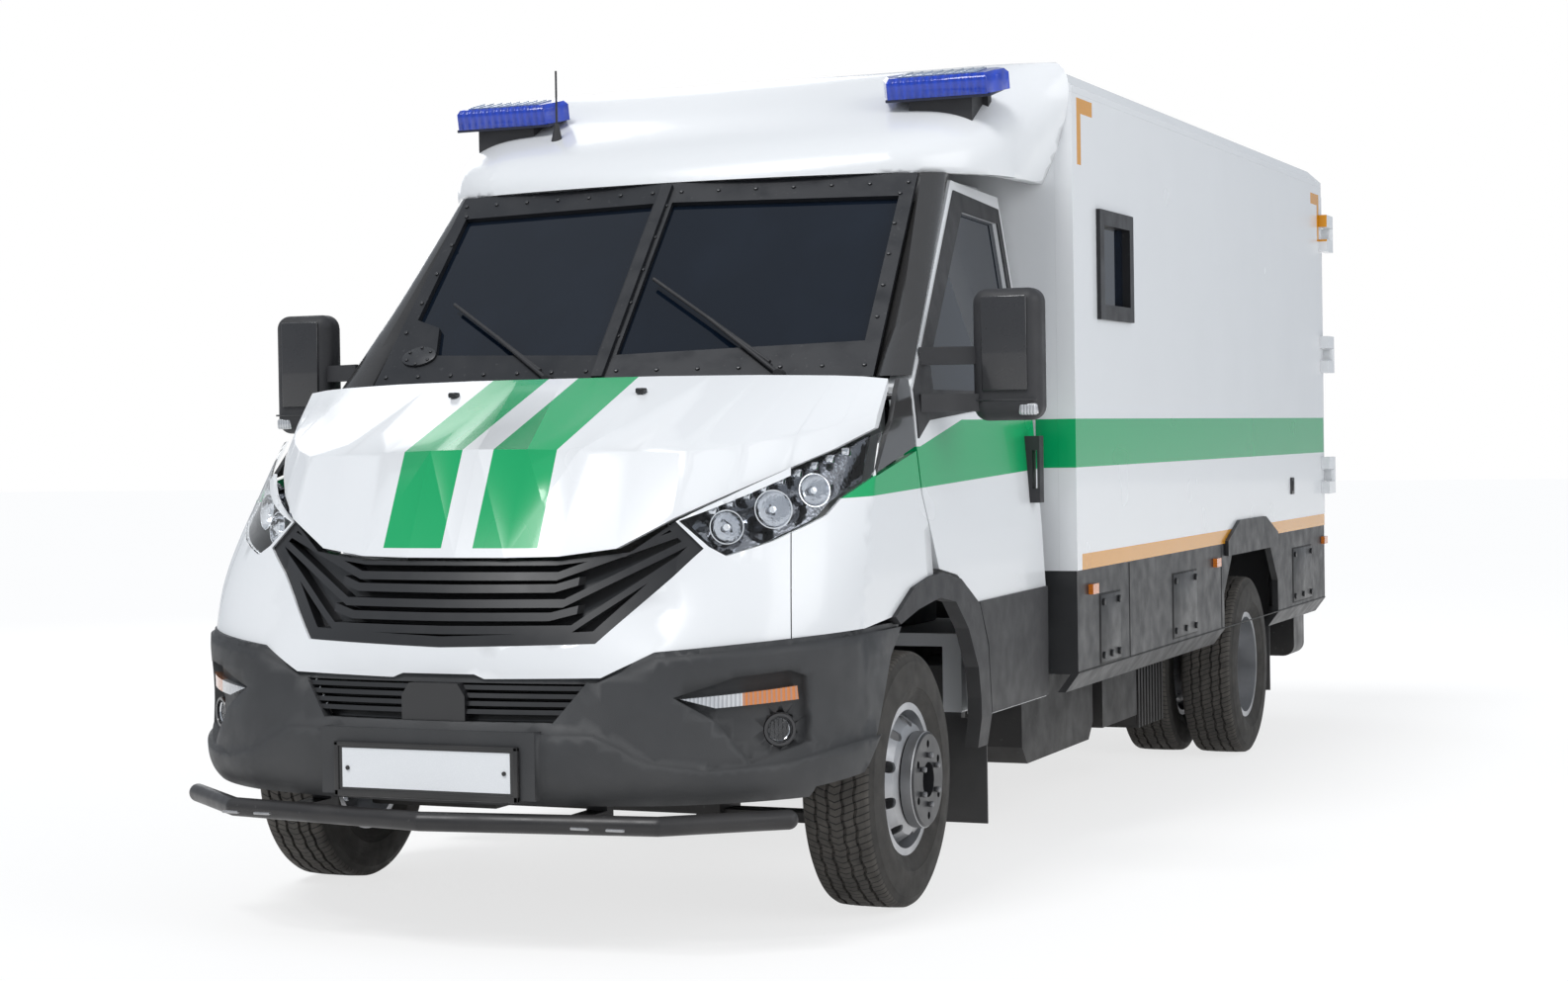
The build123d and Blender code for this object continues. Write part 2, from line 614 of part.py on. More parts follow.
def make_wipers():
    """Two wiper arms with their blades, parked along the windscreen."""
    arm_radius, blade_radius, lift, pivot_radius = 7.0, 6.0, 16.0, 15.0
    screen_outline = [(0.000, 0.980), (0.860, 0.980), (0.860, 1.438), (0.000, 1.438)]
    # x and z shares of the pivot, and of the blade's two ends
    wiper_shares = [((-0.170, 1.020), (-0.640, 1.190), (-0.210, 1.040)),
                    ((0.560, 1.020), (0.070, 1.225), (0.520, 1.045))]
    wipers = []
    for pivot, tip, heel in wiper_shares:
        points = [window_plane_point(*share) - Vector(0, lift, 0) for share in (pivot, tip, heel)]
        middle = (points[1] + points[2]) / 2
        boss = cylinder_between(points[0] + Vector(0, lift - seat_gap, 0), points[0] - Vector(0, pivot_radius, 0),
                                pivot_radius)
        arm = cylinder_between(points[0], middle, arm_radius)
        blade = cylinder_between(points[1], points[2], blade_radius)
        wiper = boss + arm + blade
        for screen in both_sides(windscreen_slab(screen_outline, -seat_gap, overrun)):
            wiper = wiper - screen
        wipers.append(largest(wiper))
    return wipers


def make_door():
    """The left cab door: a thick leaf with its window cut, glass, and black outer pieces."""
    surround_skin, cladding_skin, glass_setback, glass_skin = 5.0, 9.0, 12.0, 24.0
    y0, y1 = cab_y(0.060), cab_y(0.970)
    leaf = side_shell(0, door_thickness, y0, y1) & side_region(door_outline)
    window = side_region(window_outline)
    leaf = leaf - window
    pane = side_shell(-glass_setback, glass_skin, y0, y1) & inset_window()
    surround = side_shell(surround_skin, surround_skin - seat_gap, y0, y1) & (
        side_region(surround_outline) - window)
    cladding = side_shell(cladding_skin, cladding_skin - seat_gap, y0, y1) & side_region(cladding_outline)
    return leaf, pane, [surround, cladding, make_handle()]


def inset_window():
    """The door window's outline, moved in by the seating gap."""
    face = make_face(Polyline([cab_point(0, y, z) for y, z in window_outline], close=True))
    return extrude(offset(face, amount=-seat_gap), amount=body_half_width, dir=(1, 0, 0))


def make_handle():
    """The upright door handle in its long cup."""
    handle_y_share, handle_low_share, handle_high_share = 0.882, 0.746, 0.890
    handle_width, handle_stand = 46.0, 34.0
    y = cab_y(handle_y_share)
    low, high = handle_low_share * cowl_height, handle_high_share * cowl_height
    outer = side_half_width(handle_low_share) * cab_half_width
    grip = block(outer - handle_stand, outer + handle_stand, y - handle_width / 2, y + handle_width / 2, low, high)
    grip = grip - side_shell(seat_gap, door_thickness, cab_y(0), cab_reach)
    hollow = block(outer + handle_stand / 4, outer + handle_stand * 3 / 4, y - handle_width, y + handle_width,
                   low + handle_width, high - handle_width)
    return grip - hollow


def make_mirror():
    """The left door mirror: a tall head on two arms, carried by the door."""
    head_x, head_y, head_low_z, head_high_z = 1186.0, 334.0, 1383.0, 1768.0
    head_width, head_depth, head_round = 205.0, 112.0, 42.0
    arm_height, arm_depth = 52.0, 40.0
    # z share, then the y share where each arm meets the door
    arm_shares = [(1.050, 0.172), (0.958, 0.128)]
    middle = (head_low_z + head_high_z) / 2
    head = Pos(head_x, head_y, middle) * Box(head_width, head_depth, head_high_z - head_low_z)
    head = fillet(head.edges(), radius=head_round)
    glass_depth, glass_half = 6.0, mirror_glass_share * head_width
    rear = head_y + head_depth / 2
    cut = block(head_x - glass_half, head_x + glass_half, rear - glass_depth, rear + glass_depth,
                head_low_z + head_round, head_high_z - head_round)
    body = head - cut
    for z_share, y_share in arm_shares:
        z = z_share * cowl_height
        root_x = side_half_width(z_share) * cab_half_width + surround_stand
        root = Vector(root_x - arm_depth / 4, cab_y(y_share), z)
        tip = Vector(head_x - head_width / 4, head_y, z)
        along = (tip - root).normalized()
        plane = Plane(origin=root, z_dir=along, x_dir=(0, 0, 1))
        body = body + extrude(plane * Rectangle(arm_height, arm_depth), amount=(tip - root).length)
    body = body - side_shell(surround_stand + seat_gap, 2 * door_thickness, cab_y(0), cab_reach)
    plate = block(head_x - glass_half + seat_gap, head_x + glass_half - seat_gap,
                  rear - glass_depth + seat_gap, rear - seat_gap, head_low_z + head_round + seat_gap,
                  head_high_z - head_round - seat_gap)
    return body, plate


def make_arch_trims():
    """The black trim round each front wheel arch."""
    trim_outset, trim_skin = 12.0, 44.0
    outline = arch_outer_outline + list(reversed(arch_inner_outline))
    face = prism([cab_point(0, y, z) for y, z in outline], (1, 0, 0), body_half_width, both=False)
    inset = side_shell(trim_outset, trim_skin, cab_y(-0.300), cab_y(0.600))
    return inset & face


def fairing_face(row, inset):
    """A level section of the fairing, moved in by the inset."""
    shoulder_x, corner_x = 0.700, 0.925
    z, centre, shoulder, corner, side, side_x, rear_x = row
    height = z * cowl_height
    slant = inset * diagonal_share
    left = [
        Vector(rear_x * cab_half_width - inset, cab_reach - seat_gap + max(inset, 0), height),
        Vector(side_x * cab_half_width - inset, cab_y(side), height),
        Vector(corner_x * cab_half_width - slant, cab_y(corner) + slant, height),
        Vector(shoulder_x * cab_half_width, cab_y(shoulder) + inset, height),
    ]
    right = [Vector(-point.X, point.Y, point.Z) for point in left]
    front = Vector(0, cab_y(centre) + inset, height)
    return make_face([
        Line(left[0], left[1]), ThreePointArc(left[1], left[2], left[3]),
        ThreePointArc(left[3], front, right[3]), ThreePointArc(right[3], right[2], right[1]),
        Line(right[1], right[0]), Line(right[0], left[0]),
    ])


def fairing_mass(rows, inset):
    """The solid inside the fairing, its face moved in by the inset."""
    return loft([fairing_face(row, inset) for row in rows])


# z, then y of the centre, shoulder, corner and side start, side x and rear x, as shares
fairing_shares = [
    (1.440, 0.432, 0.500, 0.655, 0.800, 0.985, 0.990),
    (1.533, 0.535, 0.585, 0.705, 0.820, 0.985, 1.050),
    (1.620, 0.750, 0.785, 0.850, 0.905, 0.985, 1.080),
    (1.675, 0.880, 0.895, 0.925, 0.950, 0.975, 1.075),
    (1.704, 0.965, 0.968, 0.975, 0.982, 0.960, 1.040),
]


def make_fairing():
    """The rounded fairing from the windscreen's head to the box's roof, hollow below."""
    wall = 40.0
    return fairing_mass(fairing_shares, 0) - fairing_mass(fairing_shares[:3], wall)


def make_beacons():
    """The left beacon bar on the fairing, with its black bracket and foot."""
    beacon_x, beacon_y_share, beacon_z = 775.0, 0.735, 2436.0
    beacon_length, beacon_depth, beacon_height, beacon_cut = 420.0, 150.0, 58.0, 45.0
    foot_height, foot_drop, tail_width, tail_depth = 22.0, 110.0, 62.0, 34.0
    y = cab_y(beacon_y_share)
    half, deep = beacon_length / 2, beacon_depth / 2
    outline = [
        (beacon_x - half, y + deep / 3), (beacon_x - half + beacon_cut, y - deep),
        (beacon_x + half - beacon_cut, y - deep), (beacon_x + half, y + deep / 3),
        (beacon_x + half - beacon_cut, y + deep), (beacon_x - half + beacon_cut, y + deep),
    ]
    base = make_face(Polyline([Vector(px, py, beacon_z) for px, py in outline], close=True))
    dome = extrude(base, amount=beacon_height)
    dome = chamfer(dome.edges().group_by(Axis.Z)[-1], length=beacon_height / 5)
    ground = fairing_mass(fairing_shares, -seat_gap)
    foot = block(beacon_x - half / 2, beacon_x + half / 2, y - deep / 2, y + deep + tail_depth,
                 beacon_z - foot_drop, beacon_z - seat_gap)
    tail = block(beacon_x + tail_width, beacon_x + 2 * tail_width, y + deep + seat_gap,
                 y + deep + tail_depth, beacon_z - foot_drop, beacon_z + foot_height)
    return dome - ground, largest(foot + tail - ground)


def largest(shape):
    """The largest solid of a shape."""
    return max(shape.solids(), key=lambda solid: solid.volume)


def make_antenna():
    """The whip antenna on its cone."""
    antenna_x, antenna_y_share, antenna_base_z, antenna_tip_z = -547.0, 0.655, 2300.0, 2587.0
    cone_radius, cone_top_radius, cone_height, whip_radius = 30.0, 7.0, 110.0, 3.5
    y = cab_y(antenna_y_share)
    cone = Pos(antenna_x, y, antenna_base_z + cone_height / 2) * Cone(cone_radius, cone_top_radius, cone_height)
    whip = cylinder_between((antenna_x, y, antenna_base_z + cone_height / 2), (antenna_x, y, antenna_tip_z),
                            whip_radius)
    return largest(cone + whip - fairing_mass(fairing_shares, -seat_gap))


def make_cab_structure():
    """The cab's floor with its sills, the firewall and the roof panel."""
    floor_z, floor_skin = 690.0, 40.0
    foot_width, sill_x, sill_width = 535.0, 850.0, 60.0
    wide_y_share = 0.500
    firewall_skin, firewall_low_z = 40.0, 665.0
    narrow = block(-foot_width, foot_width, cab_y(firewall_y_share), cab_y(wide_y_share), floor_z,
                   floor_z + floor_skin)
    side_x = sill_x + sill_width
    wide = block(-side_x, side_x, cab_y(wide_y_share), cab_reach - seat_gap, floor_z, floor_z + floor_skin)
    floor = narrow + wide
    for side in (-1, 1):
        x0, x1 = sorted((side * sill_x, side * side_x))
        floor = floor + block(x0, x1, cab_y(wide_y_share), cab_reach - seat_gap, sill_low_share * cowl_height,
                              floor_z + floor_skin)
    firewall_y = cab_y(firewall_y_share) - firewall_skin - seat_gap
    firewall_rear_y = cab_y(firewall_y_share) - seat_gap
    firewall_top = cowl_bottom_share * cowl_height - seat_gap
    firewall = block(-foot_width, foot_width, firewall_y, firewall_rear_y, firewall_low_z, firewall_top)
    upper_width, upper_low_z = 870.0, 900.0
    firewall = firewall + block(-upper_width, upper_width, firewall_y, firewall_rear_y, upper_low_z, firewall_top)
    roof_half, roof_low_share, roof_top_share = 0.768, 1.415, 1.4398
    rest = frame_skin * math.sqrt(1 + window_lean ** 2 + window_sweep_share ** 2) + seat_gap
    roof_points = [window_plane_point(x, roof_top_share) + Vector(0, rest, 0) for x in (0, roof_half)]
    roof_points += [Vector(x * cab_half_width, cab_reach - seat_gap, roof_top_share * cowl_height)
                    for x in (roof_half, 0)]
    roof = extrude(make_face(Polyline(roof_points, close=True)),
                   amount=(roof_top_share - roof_low_share) * cowl_height, dir=(0, 0, -1))
    return floor, firewall, rejoin(roof)


def make_wheel_liners():
    """The inner arches over the front wheels: a roof plate and an inner wall each side."""
    liner_skin, liner_inner_x, liner_outer_x = 8.0, 548.0, 905.0
    front_y_share, rear_y_share, roof_low_z, wall_low_z = -0.430, 0.400, 872.0, 700.0
    y0, y1 = cab_y(front_y_share), cab_y(rear_y_share)
    roof = block(liner_inner_x, liner_outer_x, y0, y1, roof_low_z, roof_low_z + liner_skin)
    wall = block(liner_inner_x, liner_inner_x + liner_skin, y0, y1, wall_low_z, roof_low_z)
    return roof + wall


def make_interior():
    """Two seats, the dashboard, and the steering wheel on its column."""
    seat_x, seat_width, seat_depth, seat_height = 470.0, 480.0, 480.0, 130.0
    seat_y, back_height, back_skin = 840.0, 720.0, 120.0
    base_height, base_shrink = 250.0, 60.0
    floor_top = cab_floor_z + seat_gap
    dash_y1, dash_low_z, dash_width = 470.0, 1120.0, 800.0
    dash_y0 = cab_y(firewall_y_share)
    wheel_radius, wheel_tube, wheel_y, wheel_z, wheel_tilt = 215.0, 15.0, 610.0, 1290.0, 35.0
    pieces = []
    for side in (-1, 1):
        x = side * seat_x
        base = block(x - seat_width / 2 + base_shrink, x + seat_width / 2 - base_shrink, seat_y,
                     seat_y + seat_depth - base_shrink, floor_top, floor_top + base_height)
        cushion_z = floor_top + base_height
        cushion = block(x - seat_width / 2, x + seat_width / 2, seat_y, seat_y + seat_depth, cushion_z,
                        cushion_z + seat_height)
        back = block(x - seat_width / 2, x + seat_width / 2, seat_y + seat_depth - back_skin,
                     seat_y + seat_depth, cushion_z, cushion_z + seat_height + back_height)
        pieces.append(base + cushion + back)
    dash_top = dash_top_share * cowl_height
    dash_points = [Vector(0, dash_y0, dash_low_z), Vector(0, dash_y0, dash_top), Vector(0, dash_y1, dash_top),
                   Vector(0, dash_y1 + base_shrink, dash_low_z + base_shrink), Vector(0, dash_y1, dash_low_z)]
    dash = extrude(make_face(Polyline(dash_points, close=True)), amount=dash_width, dir=(1, 0, 0), both=True)
    hub = Plane(origin=(seat_x, wheel_y, wheel_z), x_dir=(1, 0, 0),
                z_dir=(0, math.cos(math.radians(wheel_tilt)), math.sin(math.radians(wheel_tilt))))
    ring = hub * Torus(wheel_radius - wheel_tube, wheel_tube)
    spoke = hub * Box(2 * wheel_radius - 2 * wheel_tube, 2 * wheel_tube, wheel_tube)
    boss = cylinder_between(hub.origin, hub.origin - hub.z_dir * (wheel_y - dash_y1) * column_reach, 2 * wheel_tube)
    pieces.append(dash + boss + ring + spoke)
    return pieces


def make_chassis():
    """The ladder frame: two rails and their cross members."""
    cross_shares = [0.02, 0.31, 0.45, 0.62, 0.80, 0.98]
    cross_length, cross_height = 70.0, 90.0
    y0, y1 = frame_front_y, wheelbase + rear_overhang
    frame = None
    for side in (-1, 1):
        rail = block(side * rail_x - rail_width / 2, side * rail_x + rail_width / 2, y0, y1, rail_low_z,
                     rail_low_z + rail_height)
        frame = rail if frame is None else frame + rail
    for share in cross_shares:
        y = y0 + (y1 - y0) * share
        frame = frame + block(-rail_x, rail_x, y - cross_length / 2, y + cross_length / 2,
                              rail_low_z + rail_height - cross_height, rail_low_z + rail_height)
    beam_half, beam_height = 480.0, 120.0
    frame = frame + block(-beam_half, beam_half, y0 - front_beam_depth, y0, rail_low_z, rail_low_z + beam_height)
    outrigger_half, outrigger_width = 1020.0, 60.0
    top = body_base_z - seat_gap
    for share in (0.46, 0.58, 0.93):
        y = y0 + (y1 - y0) * share
        frame = frame + block(-outrigger_half, outrigger_half, y - outrigger_width / 2, y + outrigger_width / 2,
                              rail_low_z + rail_height, top)
    return frame


def make_engine():
    """The engine and gearbox as one plain block."""
    engine_half, engine_y0, engine_y1, engine_low, engine_high = 290.0, -640.0, 70.0, 585.0, 1130.0
    gearbox_half, gearbox_y1, gearbox_low = 140.0, 900.0, 440.0
    block_solid = block(-engine_half, engine_half, engine_y0, engine_y1, engine_low, engine_high)
    sump = block(-gearbox_half, gearbox_half, engine_y0, engine_y1, gearbox_low, engine_low)
    gearbox = block(-gearbox_half, gearbox_half, engine_y1, gearbox_y1, gearbox_low, engine_low)
    return block_solid + sump + gearbox


def make_axles():
    """The front crossmember with its arms, and the rear axle with its springs and shaft."""
    beam_half, beam_depth, beam_low, beam_high = 420.0, 160.0, 250.0, 400.0
    arm_low_z, arm_high_z, arm_skin, arm_width = 232.0, 476.0, 30.0, 90.0
    front = block(-beam_half, beam_half, -beam_depth / 2, beam_depth / 2, beam_low, beam_high)
    hanger_x0, hanger_x1 = 344.0, 406.0
    rail_low = 488.0
    for side in (-1, 1):
        x0, x1 = sorted((side * (beam_half - arm_width), side * kingpin_x))
        h0, h1 = sorted((side * hanger_x0, side * hanger_x1))
        front = front + block(h0, h1, -beam_depth / 2, beam_depth / 2, beam_high, rail_low - seat_gap)
        for z in (arm_low_z, arm_high_z - arm_skin):
            front = front + block(x0, x1, -arm_width / 2, arm_width / 2, z, z + arm_skin)
            front = front + Pos(side * kingpin_x, 0, z + arm_skin / 2) * Cylinder(arm_width / 2, arm_skin)
        post0, post1 = sorted((side * (beam_half - arm_width), side * beam_half))
        front = front + block(post0, post1, -arm_width / 2, arm_width / 2, arm_low_z, arm_high_z)
    tube_radius, tube_half, ball_radius = 58.0, 560.0, 150.0
    rear = cylinder_between((-tube_half, wheelbase, axle_z), (tube_half, wheelbase, axle_z), tube_radius)
    rear = rear + Pos(0, wheelbase, axle_z) * Sphere(ball_radius)
    rear = rear + cylinder_between((-rear_spindle_half, wheelbase, axle_z), (rear_spindle_half, wheelbase, axle_z),
                                   spindle_radius)
    spring_x, spring_width, spring_half, spring_skin, spring_drop = 475.0, 70.0, 620.0, 38.0, 95.0
    mount_z = axle_z + tube_radius
    springs = []
    for side in (-1, 1):
        points = [Vector(side * spring_x - spring_width / 2, wheelbase + share * spring_half, mount_z + rise)
                  for share, rise in ((-1, spring_drop), (0, seat_gap), (1, spring_drop))]
        raised = [point + Vector(0, 0, spring_skin) for point in points]
        face = make_face([ThreePointArc(*points), Line(points[2], raised[2]), ThreePointArc(*reversed(raised)),
                          Line(raised[0], points[0])])
        leaf = extrude(face, amount=spring_width, dir=(1, 0, 0))
        for end in (points[0], points[2]):
            x0, x1 = sorted((side * (rail_x + rail_width / 2 + seat_gap), side * (spring_x + spring_width / 2)))
            leaf = leaf + block(x0, x1, end.Y - spring_skin, end.Y + spring_skin, end.Z, end.Z + 2 * spring_skin)
        springs.append(leaf)
    shaft_radius, shaft_start, shaft_start_z = 45.0, 902.5, 510.0
    shaft = cylinder_between((0, shaft_start + seat_gap, shaft_start_z),
                             (0, wheelbase - ball_radius + shaft_radius / 4, axle_z), shaft_radius)
    return front, rear + shaft, springs


def make_knuckle():
    """The left steering knuckle with its wheel spindle."""
    knuckle_low, knuckle_high, knuckle_width, knuckle_depth = 262.5, 445.5, 84.0, 84.0
    spindle_end = front_track_half + spindle_reach
    body = block(kingpin_x - knuckle_width / 2, kingpin_x + knuckle_width / 2, -knuckle_depth / 2,
                 knuckle_depth / 2, knuckle_low, knuckle_high)
    return body + cylinder_between((kingpin_x, 0, axle_z), (spindle_end, 0, axle_z), spindle_radius)


def make_tyre(centre_x, centre_y):
    """One tyre, as a solid of revolution round its axle."""
    rim_radius = rim_seat_radius + seat_gap
    # distance across as a share of half the width, radius as a share from rim to tread
    tyre_shares = [
        (-0.700, 0.000), (-0.700, 0.115), (-0.975, 0.300), (-1.000, 0.480), (-0.960, 0.720), (-0.850, 0.920),
        (-0.740, 0.985), (-0.300, 1.000), (0.300, 1.000), (0.740, 0.985), (0.850, 0.920), (0.960, 0.720),
        (1.000, 0.480), (0.975, 0.300), (0.700, 0.115), (0.700, 0.000),
    ]
    points = [(across * tyre_width / 2, rim_radius + (tyre_radius - rim_radius) * up)
              for across, up in tyre_shares]
    return ring_along_x(points, centre_x, centre_y, axle_z)


def make_rim(centre_x, centre_y, dish, hub_low_x, hub_high_x):
    """A steel rim: a barrel with two flanges, and a disc that reaches out by the dish."""
    half, flange, skin = rim_half_width, rim_flange_radius, rim_skin
    barrel = ring_along_x([(-half, rim_seat_radius), (half, rim_seat_radius), (half, flange),
                           (half + skin, flange), (half + skin, rim_seat_radius - skin),
                           (-half - skin, rim_seat_radius - skin), (-half - skin, flange), (-half, flange)],
                          centre_x, centre_y, axle_z)
    sign = 1 if dish > 0 else -1
    shoulder_radius, hub_radius, bore = 158.0, 128.0, spindle_radius + running_gap
    outer_x, step_x = dish, dish - sign * rim_step
    join_x = dish - sign * rim_join
    disc_points = [
        (join_x, rim_seat_radius - skin / 2), (step_x, shoulder_radius), (outer_x, hub_radius), (outer_x, bore),
        (outer_x - sign * skin, bore), (outer_x - sign * skin, hub_radius), (step_x - sign * skin, shoulder_radius),
        (join_x - sign * skin, rim_seat_radius - skin / 2),
    ]
    disc = ring_along_x(disc_points, centre_x, centre_y, axle_z)
    hole_radius, hole_ring_radius, hole_count = 17.0, 166.0, 10
    for index in range(hole_count):
        angle = math.tau * (index + 0.5) / hole_count
        y = centre_y + hole_ring_radius * math.cos(angle)
        z = axle_z + hole_ring_radius * math.sin(angle)
        disc = disc - cylinder_between((centre_x - 2 * rim_half_width, y, z), (centre_x + 2 * rim_half_width, y, z),
                                       hole_radius)
    hub_outer = 66.0
    hub = ring_along_x([(hub_low_x - centre_x, bore), (hub_low_x - centre_x, hub_outer),
                        (hub_high_x - centre_x, hub_outer), (hub_high_x - centre_x, bore)],
                       centre_x, centre_y, axle_z)
    return barrel + disc + hub


def make_hub_plate(face_x, centre_y):
    """The black disc bolted to a front rim, with its six screws sunk and its middle open."""
    plate_radius, plate_skin, open_radius = 137.0, 38.0, 50.0
    screw_radius, screw_ring, screw_count = 11.0, 102.0, 6
    plate = ring_along_x([(seat_gap, open_radius), (seat_gap, plate_radius),
                          (plate_skin * plate_wall_share, plate_radius),
                          (plate_skin, plate_radius - plate_skin * plate_round_share),
                          (plate_skin, open_radius)], face_x, centre_y, axle_z)
    for index in range(screw_count):
        angle = math.tau * (index + 0.5) / screw_count
        y = centre_y + screw_ring * math.cos(angle)
        z = axle_z + screw_ring * math.sin(angle)
        plate = plate - cylinder_between((face_x + plate_skin * plate_bolt_share, y, z), (face_x + 2 * plate_skin, y, z),
                                         screw_radius)
    return plate


def make_body_panels():
    """The load space as flat panels: floor, roof, two sides, front wall and rear frame."""
    half, wall = body_half_width, body_wall
    inner = half - wall
    floor = block(-inner + seat_gap, inner - seat_gap, body_front_y + wall + seat_gap, body_rear_y - wall - seat_gap,
                  body_base_z, body_base_z + wall)
    side = block(inner, half, body_front_y, body_rear_y, body_base_z, body_eave_z)
    window_y0, window_y1, window_z0, window_z1 = side_window
    side = side - block(inner - wall, half + wall, window_y0, window_y1, window_z0, window_z1)
    step, crown = body_roof_rise * roof_step_share, body_roof_rise
    fold_z = body_eave_z + crown * roof_fold_share
    roof_points = [Vector(x, body_front_y, z) for x, z in (
        (half, body_eave_z + seat_gap), (half, body_eave_z + step), (half - wall, fold_z),
        (0, body_eave_z + crown), (-half + wall, fold_z), (-half, body_eave_z + step),
        (-half, body_eave_z + seat_gap))]
    roof = extrude(make_face(Polyline(roof_points, close=True)), amount=body_length, dir=(0, 1, 0))
    front = block(-inner + seat_gap, inner - seat_gap, body_front_y, body_front_y + wall, body_base_z,
                  body_eave_z)
    frame_side, frame_high = 80.0, 70.0
    rear = block(-inner + seat_gap, inner - seat_gap, body_rear_y - wall, body_rear_y, body_base_z, body_eave_z)
    rear = rear - block(-inner + frame_side, inner - frame_side, body_rear_y - 2 * wall, body_rear_y + wall,
                        body_base_z + wall + seat_gap, body_eave_z - frame_high)
    return floor, roof, side, front, rear


def make_side_window():
    """The small black framed window in the load space's left side, and its pane."""
    y0, y1, z0, z1 = side_window
    rim, stand, pane_skin = 34.0, 14.0, 22.0
    outer = body_half_width
    frame = block(outer + seat_gap, outer + stand, y0 - rim / 2, y1 + rim / 2, z0 - rim / 2, z1 + rim / 2)
    frame = frame + block(outer - body_wall, outer + stand, y0 + seat_gap, y1 - seat_gap, z0 + seat_gap,
                          z1 - seat_gap)
    frame = frame - block(outer - 2 * body_wall, outer + 2 * stand, y0 + rim, y1 - rim, z0 + rim, z1 - rim)
    pane = block(outer - pane_skin - stand, outer - stand, y0 + rim + seat_gap, y1 - rim - seat_gap,
                 z0 + rim + seat_gap, z1 - rim - seat_gap)
    return frame, pane


def make_skirt():
    """The left skirt along the body, with the rear wheel arch and the bump above it."""
    skin, return_depth, lip = 26.0, 44.0, 60.0
    arch_y0, arch_y1, arch_top = 3555.0, 4602.0, 839.0
    arch_cut = 150.0
    outer = body_half_width - 2.0
    top = body_base_z - seat_gap
    y0, y1 = body_front_y + seat_gap, body_rear_y
    points = [(outer, top), (outer, skirt_bottom_z + lip), (outer - return_depth, skirt_bottom_z),
              (outer - return_depth - skin, skirt_bottom_z), (outer - skin, skirt_bottom_z + lip),
              (outer - skin, top)]
    face = make_face(Polyline([Vector(x, y0, z) for x, z in points], close=True))
    skirt = extrude(face, amount=y1 - y0, dir=(0, 1, 0))
    arch = [(arch_y0, 0), (arch_y0, arch_top - arch_cut), (arch_y0 + arch_cut, arch_top),
            (arch_y1 - arch_cut, arch_top), (arch_y1, arch_top - arch_cut), (arch_y1, 0)]
    cutter = make_face(Polyline([Vector(0, y, z) for y, z in arch], close=True))
    skirt = skirt - extrude(cutter, amount=body_half_width + overrun, dir=(1, 0, 0))
    return_width = 190.0
    skirt = skirt + block(outer - return_width, outer - skin / 2, y0, y0 + skin, skirt_bottom_z + lip, top)
    bump_stand, bump_z = 14.0, 900.0
    bump_outline = [(3571.0, bump_z - lip), (3571.0, bump_z), (3794.0, 975.0), (4299.0, 975.0), (4542.0, bump_z),
                    (4542.0, bump_z - lip)]
    plate = make_face(Polyline([Vector(body_half_width + seat_gap, y, z) for y, z in bump_outline], close=True))
    bump = extrude(plate, amount=bump_stand, dir=(1, 0, 0))
    liner_inner, liner_skin = 555.0, 8.0
    liner_top = block(liner_inner, outer - skin - seat_gap, arch_y0, arch_y1, arch_top, arch_top + liner_skin)
    return skirt, bump, liner_top


def make_rear_door():
    """The left rear door leaf with its hinge straps and knuckles, and the fixed hinge halves."""
    leaf_skin, leaf_low, leaf_high, leaf_edge = 62.0, 945.0, 2420.0, 1080.0
    middle_gap = 4.0
    y0 = body_rear_y + seat_gap + panel_gap / 2
    leaf = block(middle_gap, leaf_edge, y0, y0 + leaf_skin, leaf_low, leaf_high)
    strap_length, strap_skin, strap_height, knuckle_radius = 260.0, 10.0, 56.0, 15.0
    pin_x, pin_y = rear_hinge_x, rear_hinge_y
    fixed = None
    for share in (0.12, 0.50, 0.88):
        z = leaf_low + (leaf_high - leaf_low) * share
        strap = block(leaf_edge - strap_length, pin_x, y0 + leaf_skin - seat_gap, y0 + leaf_skin + strap_skin,
                      z - strap_height / 2, z + strap_height / 2)
        knuckle = Pos(pin_x, pin_y, z) * Cylinder(knuckle_radius, strap_height)
        leaf = leaf + strap + knuckle
        for side in (-1, 1):
            lug_z = z + side * (strap_height + seat_gap * 2)
            lug = Pos(pin_x, pin_y, lug_z) * Cylinder(knuckle_radius, strap_height)
            arm = block(body_half_width + seat_gap, pin_x + knuckle_radius, body_rear_y - strap_length / 4, pin_y,
                        lug_z - strap_height / 2, lug_z + strap_height / 2)
            lug = lug + arm
            fixed = lug if fixed is None else fixed + lug
    bar_radius, bar_x, handle_low_share, handle_high_share = 12.0, 90.0, 0.06, 0.94
    height = leaf_high - leaf_low
    bar_y = y0 + leaf_skin + strap_skin + bar_radius
    bar = cylinder_between((bar_x, bar_y, leaf_low + handle_low_share * height),
                           (bar_x, bar_y, leaf_low + handle_high_share * height), bar_radius)
    leaf = leaf + bar
    for share in (0.08, 0.35, 0.65, 0.92):
        z = leaf_low + height * share
        leaf = leaf + block(bar_x - 2 * bar_radius, bar_x + 2 * bar_radius, y0 + leaf_skin - seat_gap, bar_y,
                            z - 2 * bar_radius, z + 2 * bar_radius)
    return leaf, fixed


